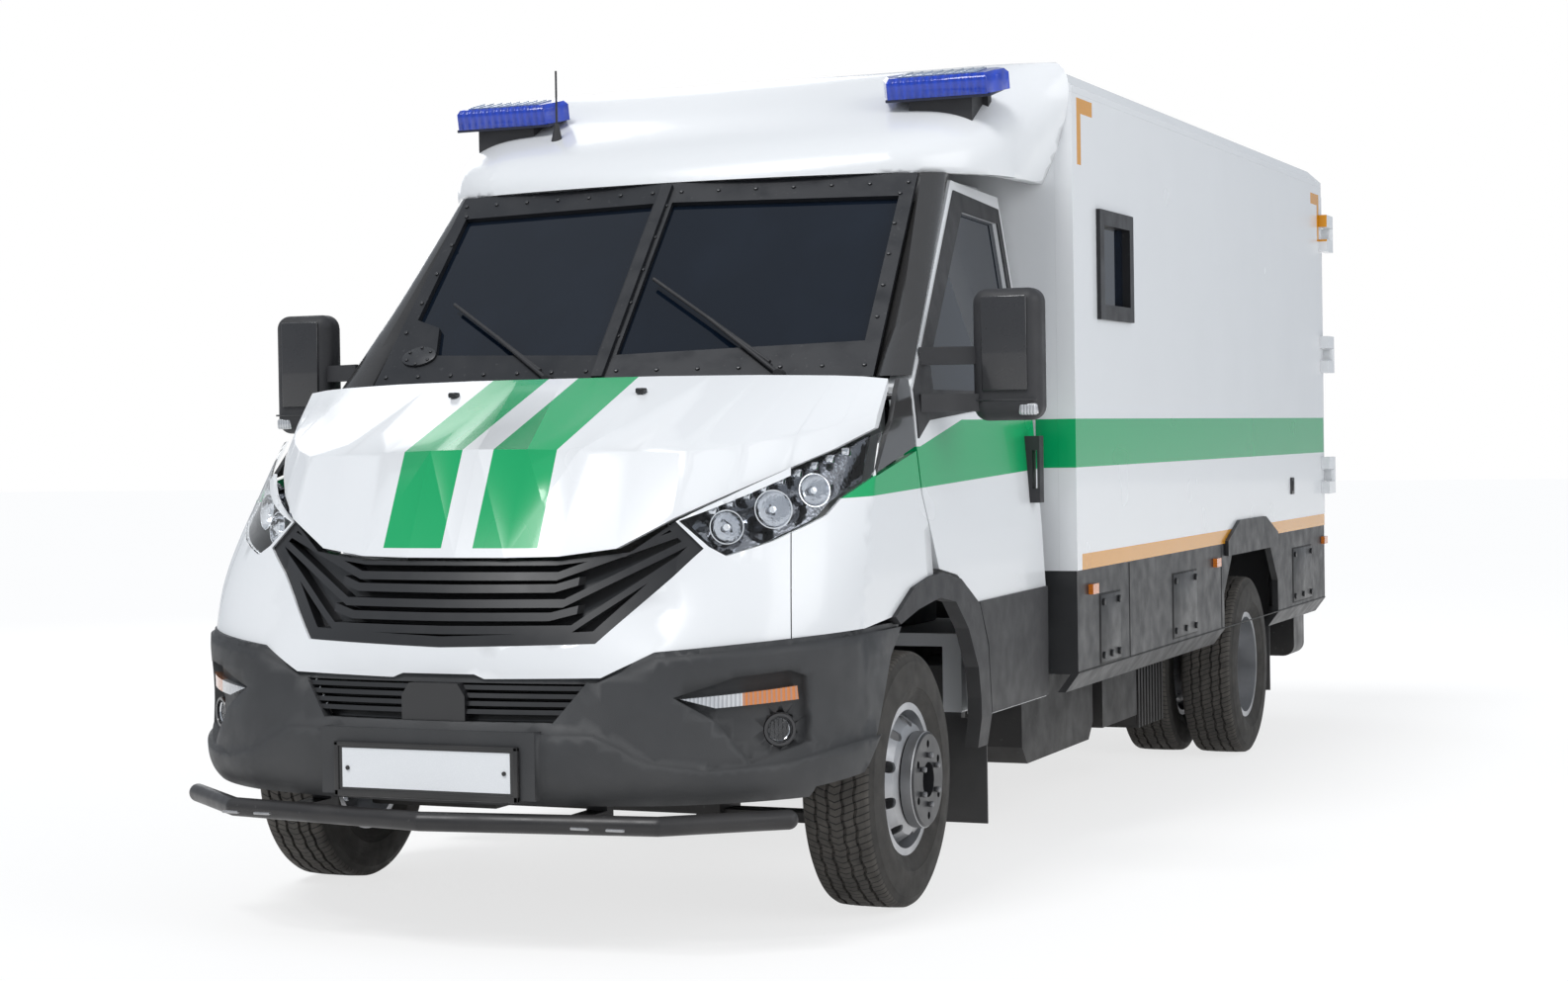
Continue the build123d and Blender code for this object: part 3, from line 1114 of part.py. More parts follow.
def make_rear_bumper():
    """The rear cross bar with its step plate, corner boxes and brackets."""
    bar_half, bar_depth, bar_low, bar_high = 1010.0, 90.0, 560.0, 690.0
    y0 = body_rear_y + seat_gap + panel_gap
    bar = block(-bar_half, bar_half, y0, y0 + bar_depth, bar_low, bar_high)
    step_half, step_skin = 620.0, 30.0
    bar = bar + block(-step_half, step_half, y0, rear_reach, bar_low, bar_low + step_skin)
    bracket_x, bracket_width = 375.0, 62.0
    for side in (-1, 1):
        bar = bar + block(side * bracket_x - bracket_width / 2, side * bracket_x + bracket_width / 2,
                          wheelbase + rear_overhang + seat_gap, y0, bar_low, bar_high - bracket_width)
    return bar


def make_corner_box():
    """The rounded box that hangs under the left rear corner of the body."""
    box_x0, box_x1, box_y0, box_y1, box_z0, box_round = 790.0, 1010.0, 5330.0, 5560.0, 303.0, 50.0
    top = skirt_bottom_z + corner_box_rise
    box = block(box_x0, box_x1, box_y0, box_y1, box_z0, top)
    box = fillet(box.edges().filter_by(Axis.Y), radius=box_round)
    hanger = block(box_x0 + box_round, box_x1 - box_round, box_y0 + box_round, box_y1 - box_round, top - box_round,
                   body_base_z - seat_gap)
    return box + hanger


def make_rear_lamps():
    """The left tail lamp cluster on the rear bar, in three chambers."""
    lamp_x0, lamp_x1, lamp_z0, lamp_z1, lamp_depth = 650.0, 1000.0, 575.0, 675.0, 24.0
    y0 = body_rear_y + 2 * seat_gap + panel_gap + lamp_setback
    chamber_count = 3
    width = (lamp_x1 - lamp_x0) / chamber_count
    return [block(lamp_x0 + index * width + seat_gap, lamp_x0 + (index + 1) * width - seat_gap, y0,
                  y0 + lamp_depth, lamp_z0, lamp_z1) for index in range(chamber_count)]


def make_side_markers():
    """The amber side markers along the left skirt."""
    marker_length, marker_height, marker_stand, marker_z = 74.0, 34.0, 16.0, 822.0
    x0 = body_half_width - 2.0 + seat_gap
    return [block(x0, x0 + marker_stand, y - marker_length / 2, y + marker_length / 2,
                  marker_z - marker_height / 2, marker_z + marker_height / 2) for y in (1561.0, 3402.0, 5630.0)]


def make_mudflaps():
    """The rubber flaps behind the left wheels."""
    flap_skin, hanger_width, sill_outer_x = 8.0, 40.0, 905.0
    front_y, front_x0, front_x1, front_z0, front_z1 = 700.0, 760.0, 985.0, 146.0, 470.0
    rear_y, rear_x0, rear_x1, rear_z0, rear_z1 = 4790.0, 570.0, 1010.0, 195.0, 889.0
    front = block(front_x0, front_x1, front_y, front_y + flap_skin, front_z0, front_z1)
    hanger = block(front_x0, sill_outer_x, front_y, front_y + hanger_width, front_z1 - hanger_width,
                   sill_low_share * cowl_height - seat_gap)
    rear = block(rear_x0, rear_x1, rear_y, rear_y + flap_skin, rear_z0, rear_z1)
    return front + hanger, rear


def make_under_boxes():
    """The fuel tank, the battery tray and the ribbed exhaust guard under the body."""
    tank_x1, tank_y0, tank_y1, tank_z0, tank_z1 = 860.0, 1500.0, 2400.0, 230.0, 560.0
    tray_x1, tray_y0, tray_y1, tray_z0 = 880.0, 2460.0, 2960.0, 260.0
    guard_x1, guard_y0, guard_y1, guard_z0, guard_z1 = 860.0, 3010.0, 3420.0, 215.0, 520.0
    rib, rib_count = 12.0, 9
    corner = 60.0
    inner_x = rail_x + rail_width / 2 + seat_gap
    tank = block(inner_x, tank_x1, tank_y0, tank_y1, tank_z0, tank_z1)
    tank = chamfer(tank.edges().filter_by(Axis.X).group_by(Axis.Z)[0], length=corner)
    tray = block(inner_x, tray_x1, tray_y0, tray_y1, tray_z0, tank_z1)
    guard = block(inner_x, guard_x1, guard_y0, guard_y1, guard_z0, guard_z1)
    pitch = (guard_y1 - guard_y0) / rib_count
    for index in range(rib_count):
        y = guard_y0 + pitch * index
        guard = guard + block(inner_x, guard_x1 + rib, y + pitch / 4, y + pitch * 3 / 4, guard_z0 - rib, guard_z1)
    return tank, tray, guard


def make_plate():
    """The blank front number plate in its frame."""
    plate_half, plate_low, plate_high, plate_skin = 262.0, 418.0, 542.0, 8.0
    front = -pad_front_share * nose_reach - seat_gap
    return block(-plate_half, plate_half, front - plate_skin, front, plate_low, plate_high)


nose, wing = make_nose_and_wings()
save("nose_panel", nose)
save("front_wings", both_sides(wing))
save("bonnet", make_bonnet())
save("front_grille", make_grille())
bumper = make_bumper()
save("front_bumper", bumper)
save("bumper_grille", make_bumper_lower_grille())
lenses, housings = make_headlamps()
save("headlamp_lenses", *[both_sides(lens) for lens in lenses])
save("headlamp_housings", *[both_sides(housing) for housing in housings])
strip, fog = make_bumper_lamps()
save("bumper_lamps", both_sides(strip), both_sides(fog))
save("front_guard_bar", make_front_bar())
save("number_plate", make_plate())
frame, panes = make_windscreen()
window_frame, window_pane = make_side_window()
save("windscreen_frame", frame)
save("window_panes", panes, both_sides(window_pane))
pillar, cowl_side = make_pillars()
save("pillars_and_cowl", both_sides(pillar), both_sides(cowl_side), make_cowl_panel())
save("wipers", make_wipers())
save("arch_trims", both_sides(largest(make_arch_trims() - bumper)))
save("roof_fairing", make_fairing())
dome, beacon_foot = make_beacons()
save("beacons", both_sides(dome))
save("roof_fittings", both_sides(beacon_foot), make_antenna())
floor, firewall, roof = make_cab_structure()
save("cab_structure", floor, firewall, roof)
save("cab_interior", make_interior())

leaf, pane, trims = make_door()
trims.extend(make_mirror())
for index, side_name in enumerate(("left", "right")):
    save(f"cab_door_{side_name}", both_sides(leaf)[index])
    save(f"cab_door_glass_{side_name}", both_sides(pane)[index])
    save(f"cab_door_trim_{side_name}", *[both_sides(trim)[index] for trim in trims])

save("chassis_frame", make_chassis())
save("engine_block", make_engine())
front_axle, rear_axle, springs = make_axles()
save("front_axle", front_axle)
save("rear_axle", rear_axle, springs)
knuckle = make_knuckle()
front_tyre = make_tyre(front_track_half, 0)
front_rim = make_rim(front_track_half, 0, front_dish, front_track_half - spindle_reach,
                     front_track_half + front_dish)
hub_plate = make_hub_plate(front_track_half + front_dish, 0)
inner_x = rear_outer_x - dual_spacing
rear_tyres = [make_tyre(x, wheelbase) for x in (rear_outer_x, inner_x)]
rear_rims = [make_rim(rear_outer_x, wheelbase, -rear_dish, rear_outer_x - rear_dish, rear_outer_x),
             make_rim(inner_x, wheelbase, rear_dish, inner_x, inner_x + rear_dish)]
for index, side_name in enumerate(("left", "right")):
    save(f"knuckle_{side_name}", both_sides(knuckle)[index])
    save(f"front_tyre_{side_name}", both_sides(front_tyre)[index])
    save(f"front_rim_{side_name}", both_sides(front_rim)[index], both_sides(hub_plate)[index])
    save(f"rear_tyres_{side_name}", *[both_sides(tyre)[index] for tyre in rear_tyres])
    save(f"rear_rims_{side_name}", *[both_sides(rim)[index] for rim in rear_rims])

body_floor, body_roof, body_side, body_front, body_rear = make_body_panels()
save("body_floor", body_floor)
save("body_roof", body_roof)
save("body_side_left", body_side)
save("body_side_right", mirror(body_side, about=Plane.YZ))
save("body_front_wall", body_front)
save("body_rear_frame", body_rear)
save("side_window_frames", both_sides(window_frame))
skirt, bump, arch_liner = make_skirt()
save("body_skirts", both_sides(skirt), both_sides(bump), both_sides(arch_liner))
rear_leaf, rear_hinges = make_rear_door()
for index, side_name in enumerate(("left", "right")):
    save(f"rear_door_{side_name}", both_sides(rear_leaf)[index])
save("rear_hinge_brackets", both_sides(rear_hinges))
save("rear_bumper", make_rear_bumper(), both_sides(make_corner_box()))
save("body_lamps", *[both_sides(lamp) for lamp in make_rear_lamps() + make_side_markers()])
front_flap, rear_flap = make_mudflaps()
save("wheel_liners_and_flaps", both_sides(make_wheel_liners()), both_sides(front_flap), both_sides(rear_flap))
tank, tray, guard = make_under_boxes()
save("under_boxes", both_sides(tank), both_sides(tray), both_sides(guard))
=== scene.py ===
import bpy
import json
import math
from mathutils import Matrix, Vector

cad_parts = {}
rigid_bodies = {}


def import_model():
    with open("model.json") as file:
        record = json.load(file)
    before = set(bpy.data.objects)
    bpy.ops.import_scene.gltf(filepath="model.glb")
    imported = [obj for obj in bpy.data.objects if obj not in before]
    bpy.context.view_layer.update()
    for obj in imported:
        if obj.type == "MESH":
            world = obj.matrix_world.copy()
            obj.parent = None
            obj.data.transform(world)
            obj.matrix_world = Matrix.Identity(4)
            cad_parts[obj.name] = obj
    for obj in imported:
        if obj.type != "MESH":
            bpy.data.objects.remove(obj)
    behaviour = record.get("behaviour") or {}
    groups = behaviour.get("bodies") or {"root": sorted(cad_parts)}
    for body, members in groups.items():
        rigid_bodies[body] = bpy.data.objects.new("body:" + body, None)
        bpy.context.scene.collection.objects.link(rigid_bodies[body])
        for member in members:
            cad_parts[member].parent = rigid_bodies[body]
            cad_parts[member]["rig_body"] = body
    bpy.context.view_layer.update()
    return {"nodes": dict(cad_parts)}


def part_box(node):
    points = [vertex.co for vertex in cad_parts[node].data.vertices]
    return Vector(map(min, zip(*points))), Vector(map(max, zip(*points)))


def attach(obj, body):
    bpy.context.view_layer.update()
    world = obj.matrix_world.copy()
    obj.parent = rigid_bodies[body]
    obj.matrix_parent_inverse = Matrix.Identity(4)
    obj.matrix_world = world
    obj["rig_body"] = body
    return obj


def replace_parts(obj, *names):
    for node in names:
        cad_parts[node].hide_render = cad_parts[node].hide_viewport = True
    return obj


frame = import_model()

bl_info = {
    "name": "Armored cash van",
    "version": (1, 0, 0),
    "blender": (4, 5, 0),
    "location": "3D View > Sidebar > Cash van",
    "description": "Dresses the packed frame of an armored cash van with its paint, lamps, tyres and fittings",
    "category": "Object",
}

SIDES = (("left", 1), ("right", -1))

# The places below are in metres, in the frame's own axes.
FRONT_AXLE_Y = -2.36
REAR_AXLE_Y = 1.74
AXLE_Z = 0.366
FRONT_TRACK = 0.88
REAR_OUTER, REAR_INNER = 0.966, 0.704
BONNET_FOOT_Z = 1.06
CAB_REAR_Y = -0.95
BAND_FRONT_Y, BAND_REAR_Y = -2.977, 3.338
WEDGE_LOW_Z, WEDGE_HIGH_Z, BAND_TOP_Z = 1.171, 1.389, 1.412
BOX_SKIN_X, MARK_SKIN_X = 1.083, 1.07
SKIRT_FACE_X = 1.0885
SCREEN_START, SCREEN_FOOT_Z = 0.015235, 1.518
SCREEN_LEAN, SCREEN_SWEEP = 0.905, 0.14
COVER_X, COVER_Z = -0.7, 1.615
BEACON_AXIS = (0.0, -1.342, 2.462)
BEACON_TILT = 13
SEAT_X = 0.47
COLUMN_TILT = 35
WELD_GAP = 0.0002
FLOOR_GLOW, FLOOR_SHARE, SKY_POWER = 1.05, 0.7, 0.52
CAMERA_PLACE = (3.5564, FRONT_AXLE_Y - 7.5775, 1.3516)
CAMERA_TURN = (25.2698, -1.0694, -0.9692)
FILM, FOCAL_PIXELS, PHOTO_WIDTH, PHOTO_CENTRE = 36.0, 2828.9, 1586.0, 596.0


def length(name, description, default):
    """A size that a user would change."""
    return bpy.props.FloatProperty(name=name, description=description, default=default, unit="LENGTH")


def shade(name, description, default):
    """A colour that a user would change."""
    return bpy.props.FloatVectorProperty(name=name, description=description, subtype="COLOR", size=3,
                                         default=default)


class VanSizes(bpy.types.PropertyGroup):
    """The sizes that a user would change."""
    groove: length("Groove depth", "Depth of the tyres' grooves", 0.009)
    bolt: length("Bolt head", "Width of a window frame's bolt head", 0.014)
    slat: length("Lamp rib", "Width of the ribs inside the beacons", 0.012)
    stripe_in: length("Stripe inner edge", "From the middle to the bonnet stripes", 0.048)
    stripe_out: length("Stripe outer edge", "From the middle to their outer edge", 0.236)


class VanColours(bpy.types.PropertyGroup):
    """The colours that a user would change."""
    white: shade("White", "Body paint", (0.8, 0.81, 0.82))
    green: shade("Green", "Broad stripes", (0.0, 0.37, 0.12))
    yellow: shade("Yellow", "Narrow stripes and corner marks", (0.68, 0.29, 0.003))
    black: shade("Trim black", "Moulded trim", (0.022, 0.022, 0.024))
    blue: shade("Beacon blue", "Beacon lenses", (0.005, 0.06, 0.62))
    silver: shade("Rim silver", "Wheel paint", (0.52, 0.53, 0.55))


# Materials

class Nodes:
    """A cleared node tree, with short calls."""

    def __init__(self, tree):
        self.tree = tree
        self.tree.nodes.clear()

    def add(self, kind):
        """A new node."""
        return self.tree.nodes.new(kind)

    def link(self, source, target):
        """A wire from one socket to another."""
        self.tree.links.new(source, target)

    def put(self, value, target):
        """Sets a socket to a value, or links it."""
        if isinstance(value, bpy.types.NodeSocket):
            self.link(value, target)
        elif hasattr(value, "__len__") and len(target.default_value) > len(value):
            target.default_value = tuple(value) + (1.0,)
        else:
            target.default_value = value

    def math(self, operation, *values):
        """One sum on values or sockets."""
        node = self.add("ShaderNodeMath")
        node.operation = operation
        for socket, value in zip(node.inputs, values):
            self.put(value, socket)
        return node.outputs[0]

    def either(self, first, *others):
        """The greatest: 1 where some mask is 1."""
        for other in others:
            first = self.math("MAXIMUM", first, other)
        return first

    def blend(self, share, first, second):
        """One shader that turns into another by a share."""
        node = self.add("ShaderNodeMixShader")
        for source, target in zip((share, first, second), node.inputs):
            self.link(source, target)
        return node.outputs[0]


class Board(Nodes):
    """The node board of one material."""

    def __init__(self, name):
        self.material = bpy.data.materials.new(name)
        self.material.use_nodes = True
        super().__init__(self.material.node_tree)
        self.shader = self.add("ShaderNodeBsdfPrincipled")
        self.out = self.add("ShaderNodeOutputMaterial")
        self.link(self.shader.outputs[0], self.out.inputs[0])
        self.place = self.add("ShaderNodeTexCoord").outputs["Object"]
        split = self.add("ShaderNodeSeparateXYZ")
        self.link(self.place, split.inputs[0])
        self.x, self.y, self.z = split.outputs
        self.heights = None

    def above(self, value, low):
        """1 where a value is greater than another."""
        return self.math("GREATER_THAN", value, low)

    def below(self, value, high):
        """1 where a value is less than another."""
        return self.math("LESS_THAN", value, high)

    def between(self, value, low, high):
        """1 where a value lies between two others."""
        return self.both(self.above(value, low), self.below(value, high))

    def both(self, first, *others):
        """The product: 1 where every mask is 1."""
        for other in others:
            first = self.math("MULTIPLY", first, other)
        return first

    def wave(self, value, rate):
        """A sine along a value."""
        return self.math("SINE", self.both(value, rate))

    def side(self):
        """How far out from the van's middle."""
        return self.math("ABSOLUTE", self.x)

    def from_axle(self, axle_y):
        """The place from an axle, along y and z, and the distance from it."""
        dy = self.math("SUBTRACT", self.y, axle_y)
        dz = self.math("SUBTRACT", self.z, AXLE_Z)
        return dy, dz, self.math("SQRT", self.math("ADD", self.both(dy, dy), self.both(dz, dz)))

    def span(self, value, low, high, start, end):
        """A value's run from low to high, turned into one from start to end."""
        node = self.add("ShaderNodeMapRange")
        for socket, item in zip(node.inputs, (value, low, high, start, end)):
            self.put(item, socket)
        return node.outputs[0]

    def noise(self, scale, detail=4.0, stretch=(1.0, 1.0, 1.0)):
        """Cloudy noise, fixed to the piece."""
        mapping = self.add("ShaderNodeMapping")
        mapping.inputs["Scale"].default_value = stretch
        self.link(self.place, mapping.inputs[0])
        node = self.add("ShaderNodeTexNoise")
        node.inputs["Scale"].default_value = scale
        node.inputs["Detail"].default_value = detail
        self.link(mapping.outputs[0], node.inputs["Vector"])
        return node.outputs[0]

    def uneven(self, scale, start, end, detail=4.0):
        """A value that wanders between two others."""
        return self.span(self.noise(scale, detail), 0.3, 0.7, start, end)

    def cells(self, scale):
        """Small cells, fixed to the piece."""
        node = self.add("ShaderNodeTexVoronoi")
        node.inputs["Scale"].default_value = scale
        self.link(self.place, node.inputs["Vector"])
        return node.outputs[0]

    def patchy(self, scale, detail, colour, share, lift=0.0):
        """A colour that turns in patches into a scaled and lifted one."""
        return self.mix(self.noise(scale, detail), colour, tinted(colour, share, lift))

    def mix(self, share, first, second):
        """One colour that turns into another by a share."""
        node = self.add("ShaderNodeMix")
        node.data_type = "RGBA"
        self.put(share, node.inputs[0])
        self.put(first, node.inputs[6])
        self.put(second, node.inputs[7])
        return node.outputs[2]

    def bump(self, height, strength, distance):
        """Relief, laid over what was there before."""
        node = self.add("ShaderNodeBump")
        node.inputs["Strength"].default_value = strength
        node.inputs["Distance"].default_value = distance
        self.link(height, node.inputs["Height"])
        if self.heights is not None:
            self.link(self.heights, node.inputs["Normal"])
        self.heights = node.outputs[0]
        self.link(self.heights, self.shader.inputs["Normal"])

    def set(self, **values):
        """Sets the shader's sockets and gives the finished material."""
        for name, value in values.items():
            self.put(value, self.shader.inputs[name.replace("_", " ")])
        return self.material


def colours():
    """The colours as the panel shows them."""
    return bpy.context.scene.van_colours


def sizes():
    """The sizes as the panel shows them."""
    return bpy.context.scene.van_sizes


def tinted(colour, share, lift=0.0):
    """A colour scaled by a share, then lifted."""
    return tuple(share * part + lift for part in colour)


def road_dust(board, colour, dust, strength, top=0.9):
    """A colour with a thin veil of dust that thickens towards the road."""
    low = board.span(board.z, 0.05, top, strength, 0.0)
    veil = board.both(low, board.noise(5.0, 6.0, (1.0, 0.6, 1.0)))
    return board.mix(veil, colour, dust)


def livery_paint():
    """Gloss white paint with the green stripes, the yellow strip and the yellow corner marks."""
    board = Board("livery_paint")
    tone = colours()
    side = board.side()
    y, z = board.y, board.z
    white = board.patchy(1.3, 3.0, tone.white, 0.97)
    on_bonnet = board.both(board.between(side, sizes().stripe_in, sizes().stripe_out),
                           board.below(y, FRONT_AXLE_Y), board.above(z, BONNET_FOOT_Z))
    upper = board.math("MINIMUM", board.span(y, BAND_FRONT_Y, -1.805, WEDGE_LOW_Z, WEDGE_HIGH_Z), BAND_TOP_Z)
    upper = board.either(upper, board.math("MINIMUM", board.span(y, -2.66, -2.45, WEDGE_LOW_Z, 1.312), BAND_TOP_Z))
    lower = board.span(y, BAND_FRONT_Y, -0.96, WEDGE_LOW_Z, 1.229)
    skin = board.either(board.span(y, -2.4, -2.2, 0.86, 0.955), board.both(board.above(y, CAB_REAR_Y), BOX_SKIN_X))
    on_side = board.both(board.above(side, skin), board.above(y, BAND_FRONT_Y), board.above(z, lower),
                         board.below(z, upper), board.below(y, BAND_REAR_Y))
    green = board.either(on_bonnet, on_side)
    # the strip over the skirt, then the corner marks, as y and z from and to
    patches = [((-0.915, 3.32), (0.889, 0.943)), ((-0.915, -0.865), (2.225, 2.445)),
               ((-0.915, -0.72), (2.395, 2.445)), ((3.205, 3.255), (2.205, 2.42)), ((3.06, 3.255), (2.37, 2.42))]
    marks = [board.both(board.between(y, *along), board.between(z, *up)) for along, up in patches]
    yellow = board.both(board.above(side, MARK_SKIN_X), board.either(*marks))
    colour = board.mix(green, white, tone.green)
    colour = board.mix(yellow, colour, tone.yellow)
    colour = road_dust(board, colour, (0.42, 0.39, 0.35), 0.3, 1.1)
    board.bump(board.noise(260.0, 2.0), 0.012, 0.0006)
    rough = board.span(board.noise(3.0, 2.0), 0.2, 0.8, 0.24, 0.28)
    return board.set(Base_Color=colour, Roughness=rough, Coat_Weight=0.25, Coat_Roughness=0.04)


def moulded_plastic(name, colour, rough=0.55, grain=0.35, dusty=0.5, vary=1.5):
    """Dark moulded plastic with a fine leather grain, scuffs and road dust."""
    board = Board(name)
    base = board.patchy(9.0, 5.0, colour, vary, 0.002)
    base = road_dust(board, base, (0.17, 0.16, 0.145), dusty)
    board.bump(board.cells(700.0), grain, 0.0006)
    roughness = board.uneven(14.0, rough - 0.07, rough + 0.1, 6.0)
    return board.set(Base_Color=base, Roughness=roughness, Specular_IOR_Level=0.45)


def gloss_trim(name, colour, rough=0.12):
    """Glossy dark plastic with faint swirls."""
    board = Board(name)
    base = board.patchy(6.0, 3.0, colour, 1.35)
    board.bump(board.noise(45.0, 2.0), 0.02, 0.002)
    roughness = board.uneven(20.0, rough, rough + 0.08, 6.0)
    return board.set(Base_Color=base, Roughness=roughness, Coat_Weight=0.5, Coat_Roughness=0.04)


def coated_steel(name, colour, rough=0.38, metal=0.2):
    """Paint on steel, with orange peel, chips and grime in the low places."""
    board = Board(name)
    chips = board.span(board.noise(60.0, 8.0), 0.66, 0.7, 0.0, 0.5)
    base = board.patchy(7.0, 5.0, colour, 1.3, 0.003)
    base = board.mix(chips, base, tinted(colour, 0.6, 0.05))
    base = road_dust(board, base, (0.2, 0.18, 0.155), 0.35, 0.6)
    board.bump(board.noise(120.0, 3.0), 0.12, 0.001)
    roughness = board.uneven(10.0, rough - 0.06, rough + 0.14, 6.0)
    return board.set(Base_Color=base, Roughness=roughness, Metallic=metal)


def dark_glass(name, colour):
    """Thick tinted glass that shows a deep reflection and faint haze."""
    board = Board(name)
    haze = board.span(board.noise(4.0, 6.0, (1.0, 1.0, 0.6)), 0.45, 0.8, 0.0, 0.4)
    base = board.mix(haze, colour, tinted(colour, 1.8, 0.004))
    roughness = board.uneven(30.0, 0.015, 0.05, 6.0)
    return board.set(Base_Color=base, Roughness=roughness, Specular_IOR_Level=0.5,
                     Transmission_Weight=0.12, IOR=1.45)


def clear_lens(name, tint=(0.96, 0.98, 1.0)):
    """Clear moulded lens with faint flow marks."""
    board = Board(name)
    board.bump(board.noise(22.0, 2.0), 0.015, 0.002)
    base = board.patchy(12.0, 3.0, tint, 0.94)
    roughness = board.uneven(40.0, 0.0, 0.03, 4.0)
    return board.set(Base_Color=base, Roughness=roughness, Transmission_Weight=1.0, IOR=1.22)


def ribbed_lens(name, colour, pitch, glow=0.0):
    """Coloured lens with moulded ribs."""
    board = Board(name)
    rib = board.wave(board.x, 2 * math.pi / pitch)
    base = board.mix(board.span(rib, -1.0, 1.0, 0.0, 0.6), colour, tinted(colour, 0.55))
    board.bump(rib, 0.5, pitch / 5)
    return board.set(Base_Color=base, Roughness=board.uneven(30.0, 0.06, 0.16),
                     Transmission_Weight=0.25, Coat_Weight=0.6, Coat_Roughness=0.03,
                     Emission_Color=colour, Emission_Strength=glow)


def bright_reflector(name, light=(0.86, 0.87, 0.89), dark=(0.62, 0.64, 0.67)):
    """Vacuum-plated reflector with fine facets."""
    board = Board(name)
    board.bump(board.cells(90.0), 0.25, 0.002)
    base = board.mix(board.noise(18.0, 3.0), light, dark)
    return board.set(Base_Color=base, Metallic=1.0, Roughness=board.uneven(25.0, 0.05, 0.14))


def lamp_body():
    """The inside of a headlamp: dark ribbed trim with plated ledges between."""
    board = Board("lamp_body")
    rib = board.wave(board.z, 2 * math.pi / 0.046)
    plated = board.above(rib, -0.15)
    base = board.mix(plated, (0.045, 0.047, 0.05), (0.72, 0.74, 0.77))
    board.bump(rib, 0.6, 0.008)
    return board.set(Base_Color=base, Metallic=board.span(plated, 0.0, 1.0, 0.3, 1.0),
                     Roughness=board.uneven(30.0, 0.14, 0.26))


def tyre_rubber(name, axle_y, centre_x):
    """Road rubber: fine tread cuts with painted shade in them, sidewall rings and dust on the tread."""
    board = Board(name)
    dy, dz, radius = board.from_axle(axle_y)
    turn = board.math("ARCTAN2", dz, dy)
    across = board.math("ABSOLUTE", board.math("SUBTRACT", board.side(), centre_x))
    tread = board.span(radius, 0.35, 0.356, 0.0, 1.0)
    lean = board.both(across, 120.0)
    cuts = board.math("SINE", board.math("ADD", board.both(turn, 110.0), lean))
    cut = board.both(board.above(cuts, 0.86), tread)
    rings = board.both(board.above(board.wave(radius, 900.0), 0.7),
                       board.between(radius, 0.236, 0.335))
    rubber = board.mix(board.noise(16.0, 6.0), (0.02, 0.02, 0.02), (0.045, 0.043, 0.04))
    dust = board.both(board.either(tread, 0.35), board.noise(24.0, 8.0))
    colour = board.mix(dust, rubber, (0.15, 0.135, 0.118))
    # painted shade: the tread cuts are darkened towards near-black
    colour = board.mix(board.both(cut, 0.8), colour, (0.012, 0.012, 0.012))
    board.bump(board.math("SUBTRACT", board.both(rings, 0.35), cut), 0.55, 0.003)
    board.bump(board.noise(300.0, 3.0), 0.18, 0.0008)
    return board.set(Base_Color=colour, Roughness=board.uneven(20.0, 0.68, 0.88, 5.0),
                     Specular_IOR_Level=0.3)


def rim_paint(name, axle_y, dark_radius, face_x):
    """Silver wheel paint, with the black hub plate in its middle and brake dust round the bolts."""
    board = Board(name)
    tone = colours()
    radius = board.from_axle(axle_y)[-1]
    hub = board.both(board.below(radius, dark_radius),
                     board.above(board.side(), face_x))
    silver = board.patchy(30.0, 6.0, tone.silver, 0.78)
    grime = board.both(board.span(radius, 0.1, 0.21, 0.55, 0.1), board.noise(18.0, 7.0))
    silver = board.mix(grime, silver, (0.16, 0.13, 0.1))
    colour = board.mix(hub, silver, (0.025, 0.025, 0.027))
    board.bump(board.noise(150.0, 3.0), 0.06, 0.001)
    return board.set(Base_Color=colour, Metallic=board.span(hub, 0.0, 1.0, 0.75, 0.1),
                     Roughness=board.uneven(15.0, 0.28, 0.44, 5.0))


def plate_paint():
    """A blank reflective plate with a black border."""
    board = Board("plate_paint")
    middle = board.both(board.between(board.x, -0.252, 0.252), board.between(board.z, 0.428, 0.534))
    fine = board.cells(420.0)
    white = board.mix(fine, (0.72, 0.73, 0.74), (0.8, 0.81, 0.82))
    board.bump(fine, 0.12, 0.0006)
    return board.set(Base_Color=board.mix(middle, (0.02, 0.02, 0.02), white),
                     Roughness=board.uneven(20.0, 0.28, 0.4), Coat_Weight=0.3)


def engine_metal():
    """Rough cast metal."""
    board = Board("engine_metal")
    base = board.mix(board.noise(14.0, 7.0), (0.1, 0.1, 0.1), (0.24, 0.23, 0.22))
    board.bump(board.noise(90.0, 5.0), 0.4, 0.003)
    return board.set(Base_Color=base, Metallic=0.7, Roughness=board.uneven(9.0, 0.5, 0.7))


def seat_fabric():
    """Dark woven seat cloth."""
    board = Board("seat_fabric")
    weave = board.both(board.wave(board.x, 2600.0),
                       board.wave(board.math("ADD", board.y, board.z), 2600.0))
    base = board.mix(board.span(weave, -1.0, 1.0, 0.0, 1.0), (0.025, 0.026, 0.03), (0.06, 0.062, 0.07))
    board.bump(weave, 0.4, 0.0008)
    return board.set(Base_Color=base, Roughness=0.92, Sheen_Weight=0.3)


def stripe_lens(name):
    """Turn strip in three parts: clear, amber and ribbed clear."""
    board = Board(name)
    side = board.side()
    amber = board.between(side, 0.8, 0.915)
    rib = board.wave(side, 2 * math.pi / 0.009)
    base = board.mix(amber, (0.62, 0.63, 0.65), (0.62, 0.19, 0.03))
    base = board.mix(board.both(board.above(rib, 0.3), 0.5), base, (0.25, 0.25, 0.26))
    base = board.mix(board.below(board.z, 0.63), base, (0.016, 0.016, 0.018))
    board.bump(rib, 0.5, 0.002)
    return board.set(Base_Color=base, Metallic=0.35, Roughness=board.uneven(40.0, 0.1, 0.2),
                     Coat_Weight=0.9, Coat_Roughness=0.03)


